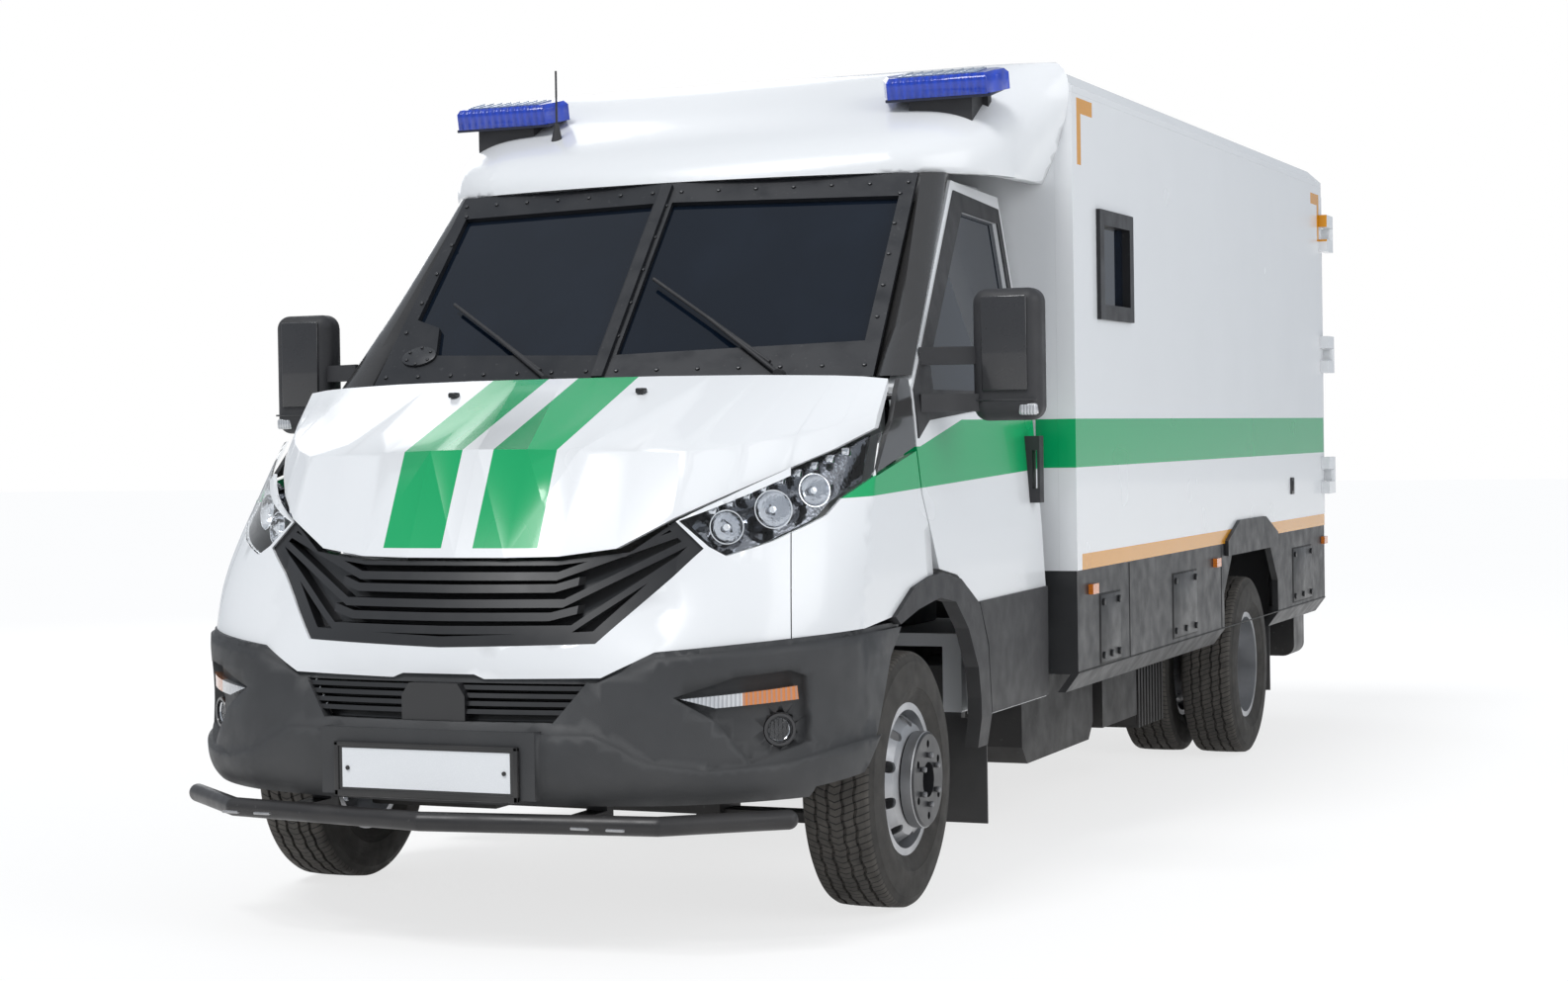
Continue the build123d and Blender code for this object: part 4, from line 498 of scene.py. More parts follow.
def body_lamp_lens():
    """Amber side markers and red, amber and clear tail lamps."""
    board = Board("body_lamp_lens")
    tail = board.above(board.y, 3.3)
    red = board.both(tail, board.below(board.side(), 0.86))
    rib = board.wave(board.math("ADD", board.z, board.y), 2 * math.pi / 0.008)
    colour = board.mix(red, (0.8, 0.21, 0.01), (0.45, 0.01, 0.01))
    colour = board.mix(board.span(rib, -1.0, 1.0, 0.0, 0.3), colour, (0.25, 0.05, 0.0))
    board.bump(rib, 0.4, 0.0015)
    return board.set(Base_Color=colour, Roughness=board.uneven(40.0, 0.1, 0.2),
                     Coat_Weight=0.8, Coat_Roughness=0.03)


def bare_metal(name, colour=(0.55, 0.56, 0.58), rough=0.32):
    """Worn metal without paint."""
    board = Board(name)
    base = board.patchy(50.0, 6.0, colour, 0.65)
    board.bump(board.noise(180.0, 3.0), 0.1, 0.0006)
    return board.set(Base_Color=base, Metallic=0.9, Roughness=board.uneven(30.0, rough, rough + 0.2))


# Shaping

def clear_choice():
    """Leaves edit mode and selects nothing."""
    if bpy.context.object and bpy.context.object.mode != "OBJECT":
        bpy.ops.object.mode_set(mode="OBJECT")
    bpy.ops.object.select_all(action="DESELECT")


def chosen(piece):
    """Selects one piece and makes it active."""
    clear_choice()
    piece.select_set(True)
    bpy.context.view_layer.objects.active = piece
    return piece


def place_mesh(piece):
    """Leaves the piece's origin at the frame's."""
    chosen(piece)
    bpy.ops.object.transform_apply(location=True, rotation=True, scale=True)


def rounded(piece, width, segments=2, angle=0.5):
    """Bevels the sharp edges."""
    chosen(piece)
    modifier = piece.modifiers.new("edge", "BEVEL")
    modifier.width = width
    modifier.segments = segments
    modifier.limit_method = "ANGLE"
    modifier.angle_limit = angle
    bpy.ops.object.modifier_apply(modifier=modifier.name)
    return piece


def box(low, high):
    """A plain box between two corners."""
    clear_choice()
    low, high = Vector(low), Vector(high)
    bpy.ops.mesh.primitive_cube_add(size=1.0, location=(low + high) / 2)
    piece = bpy.context.object
    piece.scale = high - low
    place_mesh(piece)
    return piece


def slab(low, high, round_by=0.003, segments=2):
    """A box between two corners, its edges rounded."""
    return rounded(box(low, high), round_by, segments)


def rod(start, end, radius, sides=24, round_by=0.0):
    """A round bar between two points."""
    clear_choice()
    start, end = Vector(start), Vector(end)
    run = end - start
    bpy.ops.mesh.primitive_cylinder_add(vertices=sides, radius=radius, depth=run.length,
                                        location=(start + end) / 2)
    piece = bpy.context.object
    piece.rotation_mode = "QUATERNION"
    piece.rotation_quaternion = run.to_track_quat("Z", "Y")
    place_mesh(piece)
    if round_by:
        rounded(piece, round_by)
    return piece


def spun(profile, centre, axis, steps=64):
    """A closed outline spun round an axis. The outline holds (along the axis, radius) pairs."""
    clear_choice()
    centre, axis = Vector(centre), Vector(axis).normalized()
    out = axis.orthogonal().normalized()
    bpy.ops.mesh.primitive_circle_add(vertices=len(profile), radius=0.1)
    piece = bpy.context.object
    for vertex, (along, radius) in zip(piece.data.vertices, profile):
        vertex.co = centre + axis * along + out * radius
    piece.location = (0, 0, 0)
    bpy.ops.object.mode_set(mode="EDIT")
    bpy.ops.mesh.select_all(action="SELECT")
    bpy.ops.mesh.spin(steps=steps, angle=2 * math.pi, center=centre, axis=axis)
    bpy.ops.mesh.select_all(action="SELECT")
    bpy.ops.mesh.remove_doubles(threshold=0.00002)
    bpy.ops.mesh.normals_make_consistent(inside=False)
    bpy.ops.object.mode_set(mode="OBJECT")
    return piece


def copy_of(piece, matrix):
    """A copy with its own mesh, moved by the matrix."""
    twin = piece.copy()
    twin.data = piece.data.copy()
    twin.data.transform(matrix)
    if matrix.determinant() < 0:
        twin.data.flip_normals()
    bpy.context.scene.collection.objects.link(twin)
    return twin


def loose_copy(node):
    """A copy of a CAD node, free of its body, tags and materials."""
    piece = copy_of(frame["nodes"][node], Matrix.Identity(4))
    for key in list(piece.keys()):
        del piece[key]
    piece.parent = None
    piece.data.materials.clear()
    return piece


def welded(piece):
    """Joins the points that lie together, so that the shading runs on."""
    chosen(piece)
    bpy.ops.object.mode_set(mode="EDIT")
    bpy.ops.mesh.select_all(action="SELECT")
    bpy.ops.mesh.remove_doubles(threshold=WELD_GAP)
    bpy.ops.object.mode_set(mode="OBJECT")
    return piece


def upright(way):
    """The turn that brings +Z to a direction."""
    return Vector(way).to_track_quat("Z", "Y").to_matrix().to_4x4()


def mirrored(pieces):
    """The pieces and their copies on the other side."""
    pieces = list(pieces)
    return pieces + [copy_of(piece, Matrix.Scale(-1, 4, (1, 0, 0))) for piece in pieces]


def stood_at(template, places):
    """Copies of a small part that points along +Z, one at each place and way; the part itself goes."""
    copies = []
    for place, way in places:
        copies.append(copy_of(template, Matrix.Translation(Vector(place)) @ upright(way)))
    bpy.data.objects.remove(template)
    return copies


def bolt_head(width, height, sides=6):
    """One bolt head that stands on the origin along +Z."""
    clear_choice()
    bpy.ops.mesh.primitive_cylinder_add(vertices=sides, radius=width / 2, depth=height,
                                        location=(0, 0, height / 2))
    place_mesh(bpy.context.object)
    return rounded(bpy.context.object, height / 4, 2)


def joined(pieces, name, finish, body="van", smooth=35.0):
    """Makes one named piece, gives it its material and lets it ride on a body."""
    pieces = list(pieces)
    clear_choice()
    for piece in pieces:
        piece.select_set(True)
    bpy.context.view_layer.objects.active = pieces[0]
    if len(pieces) > 1:
        bpy.ops.object.join()
    piece = bpy.context.object
    piece.name = name
    piece.data.materials.clear()
    piece.data.materials.append(finish)
    chosen(piece)
    bpy.ops.object.shade_smooth_by_angle(angle=math.radians(smooth))
    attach(piece, body)
    return piece


def pair(name):
    """A name for each side."""
    return [f"{name}_{side_name}" for side_name, _ in SIDES]


def dress(node, finish):
    """Gives a CAD node its material."""
    mesh = frame["nodes"][node].data
    mesh.materials.clear()
    mesh.materials.append(finish)


# Operators

class VAN_OT_stage(bpy.types.Operator):
    """Lays the floor, hangs the lamps and sets the camera"""
    bl_idname = "cashvan.stage"
    bl_label = "Stage, lamps and camera"

    def execute(self, context):
        self.floor()
        self.sky()
        self.lamp("key", "SUN", (-1.6, -4.6, 9.0), 1.75, 0.35)
        self.lamp("fill", "AREA", (9.0, -3.5, 5.0), 260.0, 6.0)
        self.lamp("back", "AREA", (-6.0, 7.0, 6.0), 180.0, 6.0)
        self.camera()
        bpy.context.scene.view_settings.view_transform = "Standard"
        return {"FINISHED"}

    def floor(self):
        """A wide white floor that looks bright but still takes shadows."""
        clear_choice()
        bpy.ops.mesh.primitive_plane_add(size=120.0, location=(0, 0, -0.001))
        floor = bpy.context.object
        floor.name = "floor"
        board = Board("floor_paint")
        path = board.add("ShaderNodeLightPath").outputs
        seen = board.either(path["Is Camera Ray"], path["Is Glossy Ray"], path["Is Transmission Ray"])
        glow = board.add("ShaderNodeEmission")
        board.put(FLOOR_GLOW, glow.inputs["Strength"])
        share = board.both(seen, FLOOR_SHARE)
        board.link(board.blend(share, board.shader.outputs[0], glow.outputs[0]), board.out.inputs[0])
        board.set(Base_Color=board.mix(board.noise(0.4, 3.0), (0.86, 0.86, 0.86), (0.89, 0.89, 0.89)),
                  Roughness=0.9)
        floor.data.materials.append(board.material)

    def sky(self):
        """Pale daylight, white where the camera looks at it."""
        world = bpy.data.worlds.new("daylight")
        bpy.context.scene.world = world
        world.use_nodes = True
        sky = Nodes(world.node_tree)
        path = sky.add("ShaderNodeLightPath").outputs
        light, white = sky.add("ShaderNodeBackground"), sky.add("ShaderNodeBackground")
        sky.put((0.86, 0.92, 1.0), light.inputs["Color"])
        sky.put(SKY_POWER, light.inputs["Strength"])
        sky.put((1.0, 1.0, 1.0), white.inputs["Color"])
        seen = sky.either(path["Is Camera Ray"], path["Is Transmission Ray"])
        mixed = sky.blend(seen, light.outputs[0], white.outputs[0])
        sky.link(mixed, sky.add("ShaderNodeOutputWorld").inputs[0])

    def camera(self):
        """The camera as the photo was taken. Its lens is worked out in the photo's pixels."""
        yaw, pitch, roll = (math.radians(turn) for turn in CAMERA_TURN)
        ahead = Vector((-math.sin(yaw) * math.cos(pitch), math.cos(yaw) * math.cos(pitch), math.sin(pitch)))
        right = Vector((math.cos(yaw), math.sin(yaw), 0.0))
        up = right.cross(ahead)
        right, up = (right * math.cos(roll) + up * math.sin(roll), up * math.cos(roll) - right * math.sin(roll))
        data = bpy.data.cameras.new("camera")
        data.sensor_width = FILM
        data.lens = FILM * FOCAL_PIXELS / PHOTO_WIDTH
        data.shift_x = (PHOTO_WIDTH / 2 - PHOTO_CENTRE) / PHOTO_WIDTH
        camera = bpy.data.objects.new("camera", data)
        bpy.context.scene.collection.objects.link(camera)
        turn = Matrix((right, up, -ahead)).transposed().to_4x4()
        camera.matrix_world = Matrix.Translation(Vector(CAMERA_PLACE)) @ turn
        bpy.context.scene.camera = camera

    def lamp(self, name, kind, place, power, spread):
        """One lamp that points at the van's middle."""
        data = bpy.data.lights.new(name, kind)
        data.energy = power
        if kind == "AREA":
            data.size = spread
        else:
            data.angle = spread
        lamp = bpy.data.objects.new(name, data)
        lamp.location = place
        lamp.rotation_mode = "QUATERNION"
        lamp.rotation_quaternion = (Vector((0, 0, 1.0)) - Vector(place)).to_track_quat("-Z", "Y")
        bpy.context.scene.collection.objects.link(lamp)


class VAN_OT_finishes(bpy.types.Operator):
    """Gives every node of the frame its finish"""
    bl_idname = "cashvan.finishes"
    bl_label = "Paint, trim, glass and metal"

    def execute(self, context):
        tone = colours()
        paint = livery_paint()
        trim = moulded_plastic("trim_plastic", tone.black)
        bumper = moulded_plastic("bumper_plastic", (0.026, 0.027, 0.029), 0.52, 0.5, 0.3)
        grille = gloss_trim("grille_plastic", (0.009, 0.009, 0.01), 0.34)
        steel = coated_steel("black_steel", (0.014, 0.014, 0.016))
        chassis = coated_steel("chassis_paint", (0.012, 0.012, 0.013), 0.55)
        pillar = gloss_trim("pillar_trim", (0.03, 0.029, 0.029), 0.16)
        frame_paint = coated_steel("window_frame_paint", (0.012, 0.013, 0.016), 0.34)
        skirt = moulded_plastic("skirt_paint", (0.017, 0.0175, 0.019), 0.42, 0.12, 0.12, 1.1)
        glass = dark_glass("tinted_glass", (0.004, 0.008, 0.016))
        finishes = {
            paint: ["nose_panel", "front_wings", "bonnet", "roof_fairing", "cab_structure", *pair("cab_door"),
                    "body_floor", "body_roof", *pair("body_side"), "body_front_wall", "body_rear_frame",
                    *pair("rear_door"), "rear_hinge_brackets"],
            trim: [*pair("cab_door_trim"), "arch_trims", "roof_fittings", "wheel_liners_and_flaps", "wipers",
                   "cab_interior"],
            bumper: ["front_bumper"],
            skirt: ["body_skirts"],
            grille: ["front_grille", "bumper_grille"],
            steel: ["front_guard_bar", "side_window_frames", "rear_bumper"],
            frame_paint: ["windscreen_frame"],
            chassis: ["chassis_frame", "front_axle", "rear_axle", *pair("knuckle"), "under_boxes"],
            pillar: ["pillars_and_cowl"],
            glass: ["window_panes", *pair("cab_door_glass")],
            clear_lens("headlamp_lens"): ["headlamp_lenses"],
            lamp_body(): ["headlamp_housings"],
            stripe_lens("bumper_lamp_lens"): ["bumper_lamps"],
            body_lamp_lens(): ["body_lamps"],
            ribbed_lens("beacon_lens", tone.blue, 0.026, 0.04): ["beacons"],
            plate_paint(): ["number_plate"],
            engine_metal(): ["engine_block"],
            rim_paint("front_rim_paint", FRONT_AXLE_Y, 0.135, 0.975): pair("front_rim"),
            rim_paint("rear_rim_paint", REAR_AXLE_Y, 0.075, 0.9): pair("rear_rims"),
            tyre_rubber("front_tyre_core", FRONT_AXLE_Y, FRONT_TRACK): pair("front_tyre"),
            tyre_rubber("rear_tyre_core", REAR_AXLE_Y, REAR_OUTER): pair("rear_tyres"),
        }
        dressed = set()
        for finish, nodes in finishes.items():
            for node in nodes:
                dress(node, finish)
                dressed.add(node)
        if dressed != set(frame["nodes"]):
            raise RuntimeError(f"nodes without a finish: {sorted(set(frame['nodes']) ^ dressed)}")
        return {"FINISHED"}


class VAN_OT_smooth_panels(bpy.types.Operator):
    """Rounds the shading of the bonnet, nose, wings, bumper and fairing"""
    bl_idname = "cashvan.smooth_panels"
    bl_label = "Smooth panels"

    def execute(self, context):
        for node, angle in (("bonnet", 20.0), ("nose_panel", 32.0), ("front_wings", 32.0), ("front_bumper", 32.0),
                            ("roof_fairing", 40.0)):
            source = frame["nodes"][node]
            body, finish = source["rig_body"], source.data.materials[0]
            panel = welded(loose_copy(node))
            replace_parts(joined([panel], f"smooth_{node}", finish, body, angle), node)
        return {"FINISHED"}


class VAN_OT_tyres(bpy.types.Operator):
    """Models the grooved tyres, front and rear"""
    bl_idname = "cashvan.tyres"
    bl_label = "Tyres"

    def execute(self, context):
        deep = sizes().groove
        half = [(0.0, 0.366), (0.0165, 0.366), (0.018, 0.366 - deep), (0.0255, 0.366 - deep), (0.027, 0.366),
                (0.0525, 0.3655), (0.054, 0.3655 - deep), (0.061, 0.3655 - deep), (0.0625, 0.365),
                (0.085, 0.3635), (0.093, 0.359), (0.0985, 0.349), (0.103, 0.336), (0.1045, 0.335),
                (0.109, 0.305), (0.111, 0.285), (0.1095, 0.26), (0.108, 0.259), (0.102, 0.24),
                (0.093, 0.225), (0.086, 0.216), (0.08, 0.206)]
        inside = [(0.07, 0.212), (0.09, 0.26), (0.088, 0.32), (0.07, 0.345)]
        profile = half + inside
        profile = profile + [(-along, radius) for along, radius in reversed(profile[1:])]
        for end, many, axle_y, tracks in (("front", "", FRONT_AXLE_Y, (FRONT_TRACK,)),
                                          ("rear", "s", REAR_AXLE_Y, (REAR_OUTER, REAR_INNER))):
            rubber = tyre_rubber(f"{end}_tyre_rubber", axle_y, sum(tracks) / len(tracks))
            for name, side in SIDES:
                parts = [self.tyre(profile, (side * x, axle_y, AXLE_Z)) for x in tracks]
                tyre = joined(parts, f"{end}_road_tyre{many}_{name}", rubber, f"{end}_wheel{many}_{name}",
                              40.0)
                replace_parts(tyre, f"{end}_tyre{many}_{name}")
        return {"FINISHED"}

    def tyre(self, profile, centre):
        """One tyre, its grooves pushed into a zigzag."""
        steps = 144
        piece = spun(profile, centre, (1, 0, 0), steps)
        for vertex in piece.data.vertices:
            rise = vertex.co - Vector(centre)
            if math.hypot(rise.y, rise.z) > 0.35 and 0.01 < abs(rise.x) < 0.065:
                count = round(math.atan2(rise.z, rise.y) / (2 * math.pi / steps))
                vertex.co.x += 0.0022 if (count // 2) % 2 else -0.0022
        return piece


class VAN_OT_wheel_parts(bpy.types.Operator):
    """Adds the wheel nuts"""
    bl_idname = "cashvan.wheel_parts"
    bl_label = "Wheel nuts"

    def execute(self, context):
        metal = bare_metal("wheel_nut_steel", (0.3, 0.3, 0.31), 0.35)
        for name, side in SIDES:
            for end, many, *ring in (("front", "", 1.03, FRONT_AXLE_Y, 0.07, 0.019),
                                     ("rear", "s", 0.892, REAR_AXLE_Y, 0.088, 0.026)):
                joined(self.ring(side, *ring), f"{end}_wheel_nuts_{name}", metal, f"{end}_wheel{many}_{name}")
        return {"FINISHED"}

    def ring(self, side, x, axle_y, radius, width, count=6):
        """Nuts in a ring round a wheel's centre."""
        places = []
        for index in range(count):
            angle = 2 * math.pi * (index + 0.5) / count
            places.append(((side * x, axle_y + radius * math.cos(angle), AXLE_Z + radius * math.sin(angle)),
                           (side, 0, 0)))
        return stood_at(bolt_head(width, width * 0.8), places)


class VAN_OT_window_bolts(bpy.types.Operator):
    """Bolts the windscreen frame down and adds its oval cover plate"""
    bl_idname = "cashvan.window_bolts"
    bl_label = "Windscreen bolts and cover plate"

    def execute(self, context):
        bolt = sizes().bolt
        finish = coated_steel("bolt_paint", (0.03, 0.031, 0.034), 0.3)
        spots = [(0.05 + 0.125 * step, 1.553) for step in range(7)]
        spots += [(0.05 + 0.12 * step, 2.126) for step in range(7)]
        spots += [(0.806 - 0.0105 * step, 1.6 + 0.098 * step) for step in range(1, 6)]
        spots += [(0.016, 1.66 + 0.105 * step) for step in range(5)]
        places = [(self.on_frame(side * x, z), self.outward(side)) for x, z in spots for side in (1, -1)]
        heads = stood_at(bolt_head(bolt, bolt * 0.35, 12), places)
        plate = self.cover_plate()
        ring = [(self.on_frame(COVER_X + 0.046 * math.cos(turn), COVER_Z + 0.026 * math.sin(turn), 0.008),
                 self.outward(-1)) for turn in (0.5, 1.57, 2.64, 3.64, 4.71, 5.78)]
        small = stood_at(bolt_head(bolt * 0.8, bolt * 0.3, 12), ring)
        joined(heads + [plate] + small, "windscreen_bolts", finish, "van")
        return {"FINISHED"}

    def outward(self, side):
        """The way the windscreen frame faces on one side."""
        return Vector((SCREEN_SWEEP * side, -1.0, SCREEN_LEAN)).normalized()

    def on_frame(self, x, z, stand=0.0):
        """A point on the windscreen frame's face."""
        y = FRONT_AXLE_Y + SCREEN_START + SCREEN_SWEEP * abs(x) + SCREEN_LEAN * (z - SCREEN_FOOT_Z)
        return Vector((x, y, z)) + self.outward(1 if x > 0 else -1) * stand

    def cover_plate(self):
        """The oval plate in the lower corner of one pane."""
        clear_choice()
        bpy.ops.mesh.primitive_cylinder_add(vertices=40, radius=1.0, depth=0.008)
        plate = bpy.context.object
        plate.scale = (0.064, 0.04, 1.0)
        place_mesh(plate)
        rounded(plate, 0.002)
        foot = Matrix.Translation(self.on_frame(COVER_X, COVER_Z, 0.004))
        plate.data.transform(foot @ upright(self.outward(-1)))
        return plate


class VAN_OT_headlamps(bpy.types.Operator):
    """Fills the headlamps with bowls, a bulb and plated trim"""
    bl_idname = "cashvan.headlamps"
    bl_label = "Headlamp reflectors"

    def execute(self, context):
        back = bright_reflector("lamp_back", (0.3, 0.31, 0.34), (0.1, 0.105, 0.115))
        plated = bright_reflector("lamp_plating")
        wall = loose_copy("headlamp_housings")
        for vertex in wall.data.vertices:
            side = 1 if vertex.co.x > 0 else -1
            vertex.co += Vector((-0.058 * side, 0.074, -0.01))
        rear = joined([wall], "headlamp_back", back, "van")
        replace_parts(rear, "headlamp_housings")
        parts = []
        for place, radius, facing in (((0.7, -3.03, 1.108), 0.044, (0.52, -0.84, 0.14)),
                                      ((0.795, -2.93, 1.152), 0.05, (0.6, -0.78, 0.14)),
                                      ((0.868, -2.81, 1.2), 0.044, (0.7, -0.7, 0.14))):
            parts.append(self.bowl(place, facing, radius))
            parts.append(rod(Vector(place) - Vector(facing) * 0.035, Vector(place) - Vector(facing) * 0.004,
                             0.01, 16, 0.003))
        for step in range(9):
            share = step / 8
            low = Vector((0.65, -3.01, 1.15)).lerp(Vector((0.89, -2.63, 1.3)), share)
            parts.append(slab(low - Vector((0.016, 0.012, 0.01)), low + Vector((0.016, 0.012, 0.014)), 0.004))
        joined(mirrored(parts), "headlamp_reflectors", plated, "van")
        return {"FINISHED"}

    def bowl(self, place, facing, radius):
        """One bowl, open towards its facing."""
        profile = [(0.0, radius), (-0.012, radius * 0.93), (-0.028, radius * 0.72), (-0.042, radius * 0.4),
                   (-0.046, 0.01), (-0.052, 0.01), (-0.05, radius * 0.48), (-0.034, radius * 0.82),
                   (-0.014, radius * 1.02), (0.0, radius * 1.06)]
        return spun(profile, place, facing, 40)


class VAN_OT_beacon_tops(bpy.types.Operator):
    """Tilts the beacons and adds their pale ribbed tops and dark bases"""
    bl_idname = "cashvan.beacon_tops"
    bl_label = "Beacon tops"

    def execute(self, context):
        pale = ribbed_lens("beacon_top", (0.42, 0.52, 0.7), sizes().slat)
        lens = frame["nodes"]["beacons"].data.materials[0]
        body = loose_copy("beacons")
        middle = Vector(BEACON_AXIS)
        tilt = Matrix.Rotation(math.radians(BEACON_TILT), 4, "X")
        grown = Matrix.Diagonal((1.0, 1.05, 1.15, 1.0))
        turn = Matrix.Translation(middle) @ tilt @ grown @ Matrix.Translation(-middle)
        body.data.transform(turn)
        lenses = joined([rounded(welded(body), 0.004, 2)], "beacon_lenses", lens, "van")
        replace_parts(lenses, "beacons")
        panel = slab((0.64, -1.398, 2.4935), (0.905, -1.288, 2.4975), 0.002)
        ribs = [slab((0.655 + 0.034 * step, -1.392, 2.4965), (0.661 + 0.034 * step, -1.294, 2.4995), 0.001)
                for step in range(8)]
        tops = mirrored([panel] + ribs)
        for piece in tops:
            piece.data.transform(turn)
        joined(tops, "beacon_tops", pale, "van")
        base = moulded_plastic("beacon_base", (0.01, 0.014, 0.04), 0.35)
        seams = mirrored([slab((0.6, -1.412, 2.428), (0.95, -1.27, 2.4365), 0.002)])
        for piece in seams:
            piece.data.transform(turn)
        joined(seams, "beacon_bases", base)
        return {"FINISHED"}


class VAN_OT_mirrors(bpy.types.Operator):
    """Adds the mirrors' glass, seams and turn lenses"""
    bl_idname = "cashvan.mirrors"
    bl_label = "Mirror glass and lenses"

    def execute(self, context):
        glass = bare_metal("mirror_glass", (0.75, 0.77, 0.8), 0.02)
        lens = stripe_lens("mirror_lens")
        trim = gloss_trim("mirror_cap", (0.02, 0.02, 0.022), 0.25)
        for name, side in SIDES:
            turn = Matrix.Identity(4) if side > 0 else Matrix.Scale(-1, 4, (1, 0, 0))
            plate = [slab((1.106, -1.9705, z0), (1.266, -1.9675, z1), 0.001)
                     for z0, z1 in ((1.52, 1.716), (1.434, 1.51))]
            self.settle(plate, turn, f"mirror_glass_{name}", glass, name)
            corner = [slab((1.226, -2.083, 1.398), (1.28, -2.05, 1.432), 0.008, 4)]
            self.settle(corner, turn, f"mirror_lens_{name}", lens, name)
            seam = [slab((1.09, -2.0835, 1.44), (1.282, -2.0795, 1.446), 0.0015),
                    slab((1.118, -2.0885, 1.47), (1.254, -2.0795, 1.745), 0.004, 3)]
            self.settle(seam, turn, f"mirror_cap_{name}", trim, name)
        return {"FINISHED"}

    def settle(self, pieces, turn, name, finish, side):
        """Turns the left mirror's pieces to a side and lets them ride on its door."""
        placed = [copy_of(piece, turn) for piece in pieces]
        for piece in pieces:
            bpy.data.objects.remove(piece)
        joined(placed, name, finish, f"cab_door_{side}")


class VAN_OT_side_details(bpy.types.Operator):
    """Fits the skirt hatches with their latches, the seams and the small flap"""
    bl_idname = "cashvan.side_details"
    bl_label = "Skirt hatches, seams and flap"

    def execute(self, context):
        paint = moulded_plastic("hatch_paint", (0.018, 0.0185, 0.02), 0.4, 0.12, 0.12, 1.1)
        seal = moulded_plastic("hatch_seal", (0.008, 0.008, 0.008), 0.6, 0.2)
        face, inset, edge, foot = SKIRT_FACE_X, 0.006, 0.035, 0.03
        hatches = ((-0.7, -0.425, 0.56, 0.8), (0.33, 0.72, 0.57, 0.815), (2.56, 2.99, 0.57, 0.815))
        seals, panels, places = [], [], []
        for y0, y1, z0, z1 in hatches:
            seals.append(slab((face - 0.001, y0, z0), (face + 0.0008, y1, z1), 0.0003))
            panels.append(slab((face, y0 + inset, z0 + inset), (face + 0.0032, y1 - inset, z1 - inset), 0.0012))
            ends = (y0 + edge, y1 - edge)
            spots = [(ends[0], z0 + foot), ((y0 + y1) / 2, z0 + foot), (ends[1], z0 + foot)]
            spots += [(y, z1 - foot) for y in ends]
            places += [((face + 0.003, y, z), (1, 0, 0)) for y, z in spots]
        latches = stood_at(bolt_head(0.026, 0.008, 8), places)
        joined(mirrored(seals), "hatch_seals", seal)
        joined(mirrored(panels + latches), "skirt_hatches", paint)
        line = [slab((face - 0.002, -0.97, 0.553), (face + 0.003, 3.305, 0.5575), 0.001)]
        line += [slab((face - 0.002, y, 0.556), (face + 0.0012, y + 0.004, 0.885), 0.0005) for y in (-0.3, 1.145)]
        joined(mirrored(line), "skirt_seams", seal)
        flap = [slab((1.088, 2.525, 1.052), (1.097, 2.588, 1.126), 0.006, 3),
                slab((1.094, 2.538, 1.066), (1.101, 2.556, 1.112), 0.004, 3)]
        joined(mirrored(flap), "side_flaps", moulded_plastic("flap_plastic", (0.012, 0.012, 0.013), 0.4))
        return {"FINISHED"}


class VAN_OT_rear_details(bpy.types.Operator):
    """Fits the rear doors' rods, handles, panels and hinge bolts, and the step treads"""
    bl_idname = "cashvan.rear_details"
    bl_label = "Rear door fittings"

    def execute(self, context):
        steel = bare_metal("lock_steel", (0.5, 0.51, 0.53), 0.3)
        dark = moulded_plastic("door_seal", (0.015, 0.015, 0.016), 0.6)
        paint = livery_paint()
        for name, side in SIDES:
            rods = [rod((side * x, 3.398, 0.985), (side * x, 3.398, 2.385), 0.011, 16) for x in (0.16, 0.84)]
            rods += [self.bar(side, (x - 0.032, x + 0.032), (3.381, 3.411), (z - 0.018, z + 0.018), 0.004)
                     for x in (0.16, 0.84) for z in (1.02, 1.35, 1.68, 2.01, 2.34)]
            rods.append(self.bar(side, (0.16, 0.4), (3.408, 3.42), (1.385, 1.413), 0.004))
            joined(rods, f"rear_lock_rods_{name}", steel, f"rear_door_{name}")
            panel = [self.bar(side, (0.085, 1.02), (3.38, 3.3845), heights, 0.0015)
                     for heights in ((1.0, 1.3), (1.36, 1.66), (1.72, 2.02), (2.08, 2.37))]
            joined(panel, f"rear_door_panels_{name}", paint, f"rear_door_{name}")
            places = [((side * x, 3.388, z + dz), (0, 1, 0)) for x in (0.87, 0.95, 1.03)
                      for z in (1.122, 1.6825, 2.243) for dz in (-0.016, 0.016)]
            joined(stood_at(bolt_head(0.016, 0.007), places), f"hinge_bolts_{name}", steel, f"rear_door_{name}")
        step = [slab((x, 3.36, 0.512), (x + 0.012, 3.505, 0.518), 0.001) for x in
                [-0.6 + 0.04 * count for count in range(31)]]
        joined(step, "step_treads", dark, "van")
        return {"FINISHED"}

    def bar(self, side, across, along, up, round_by):
        """A slab on one door, from its reach across, along and up."""
        low, high = zip(sorted(side * x for x in across), along, up)
        return slab(low, high, round_by)


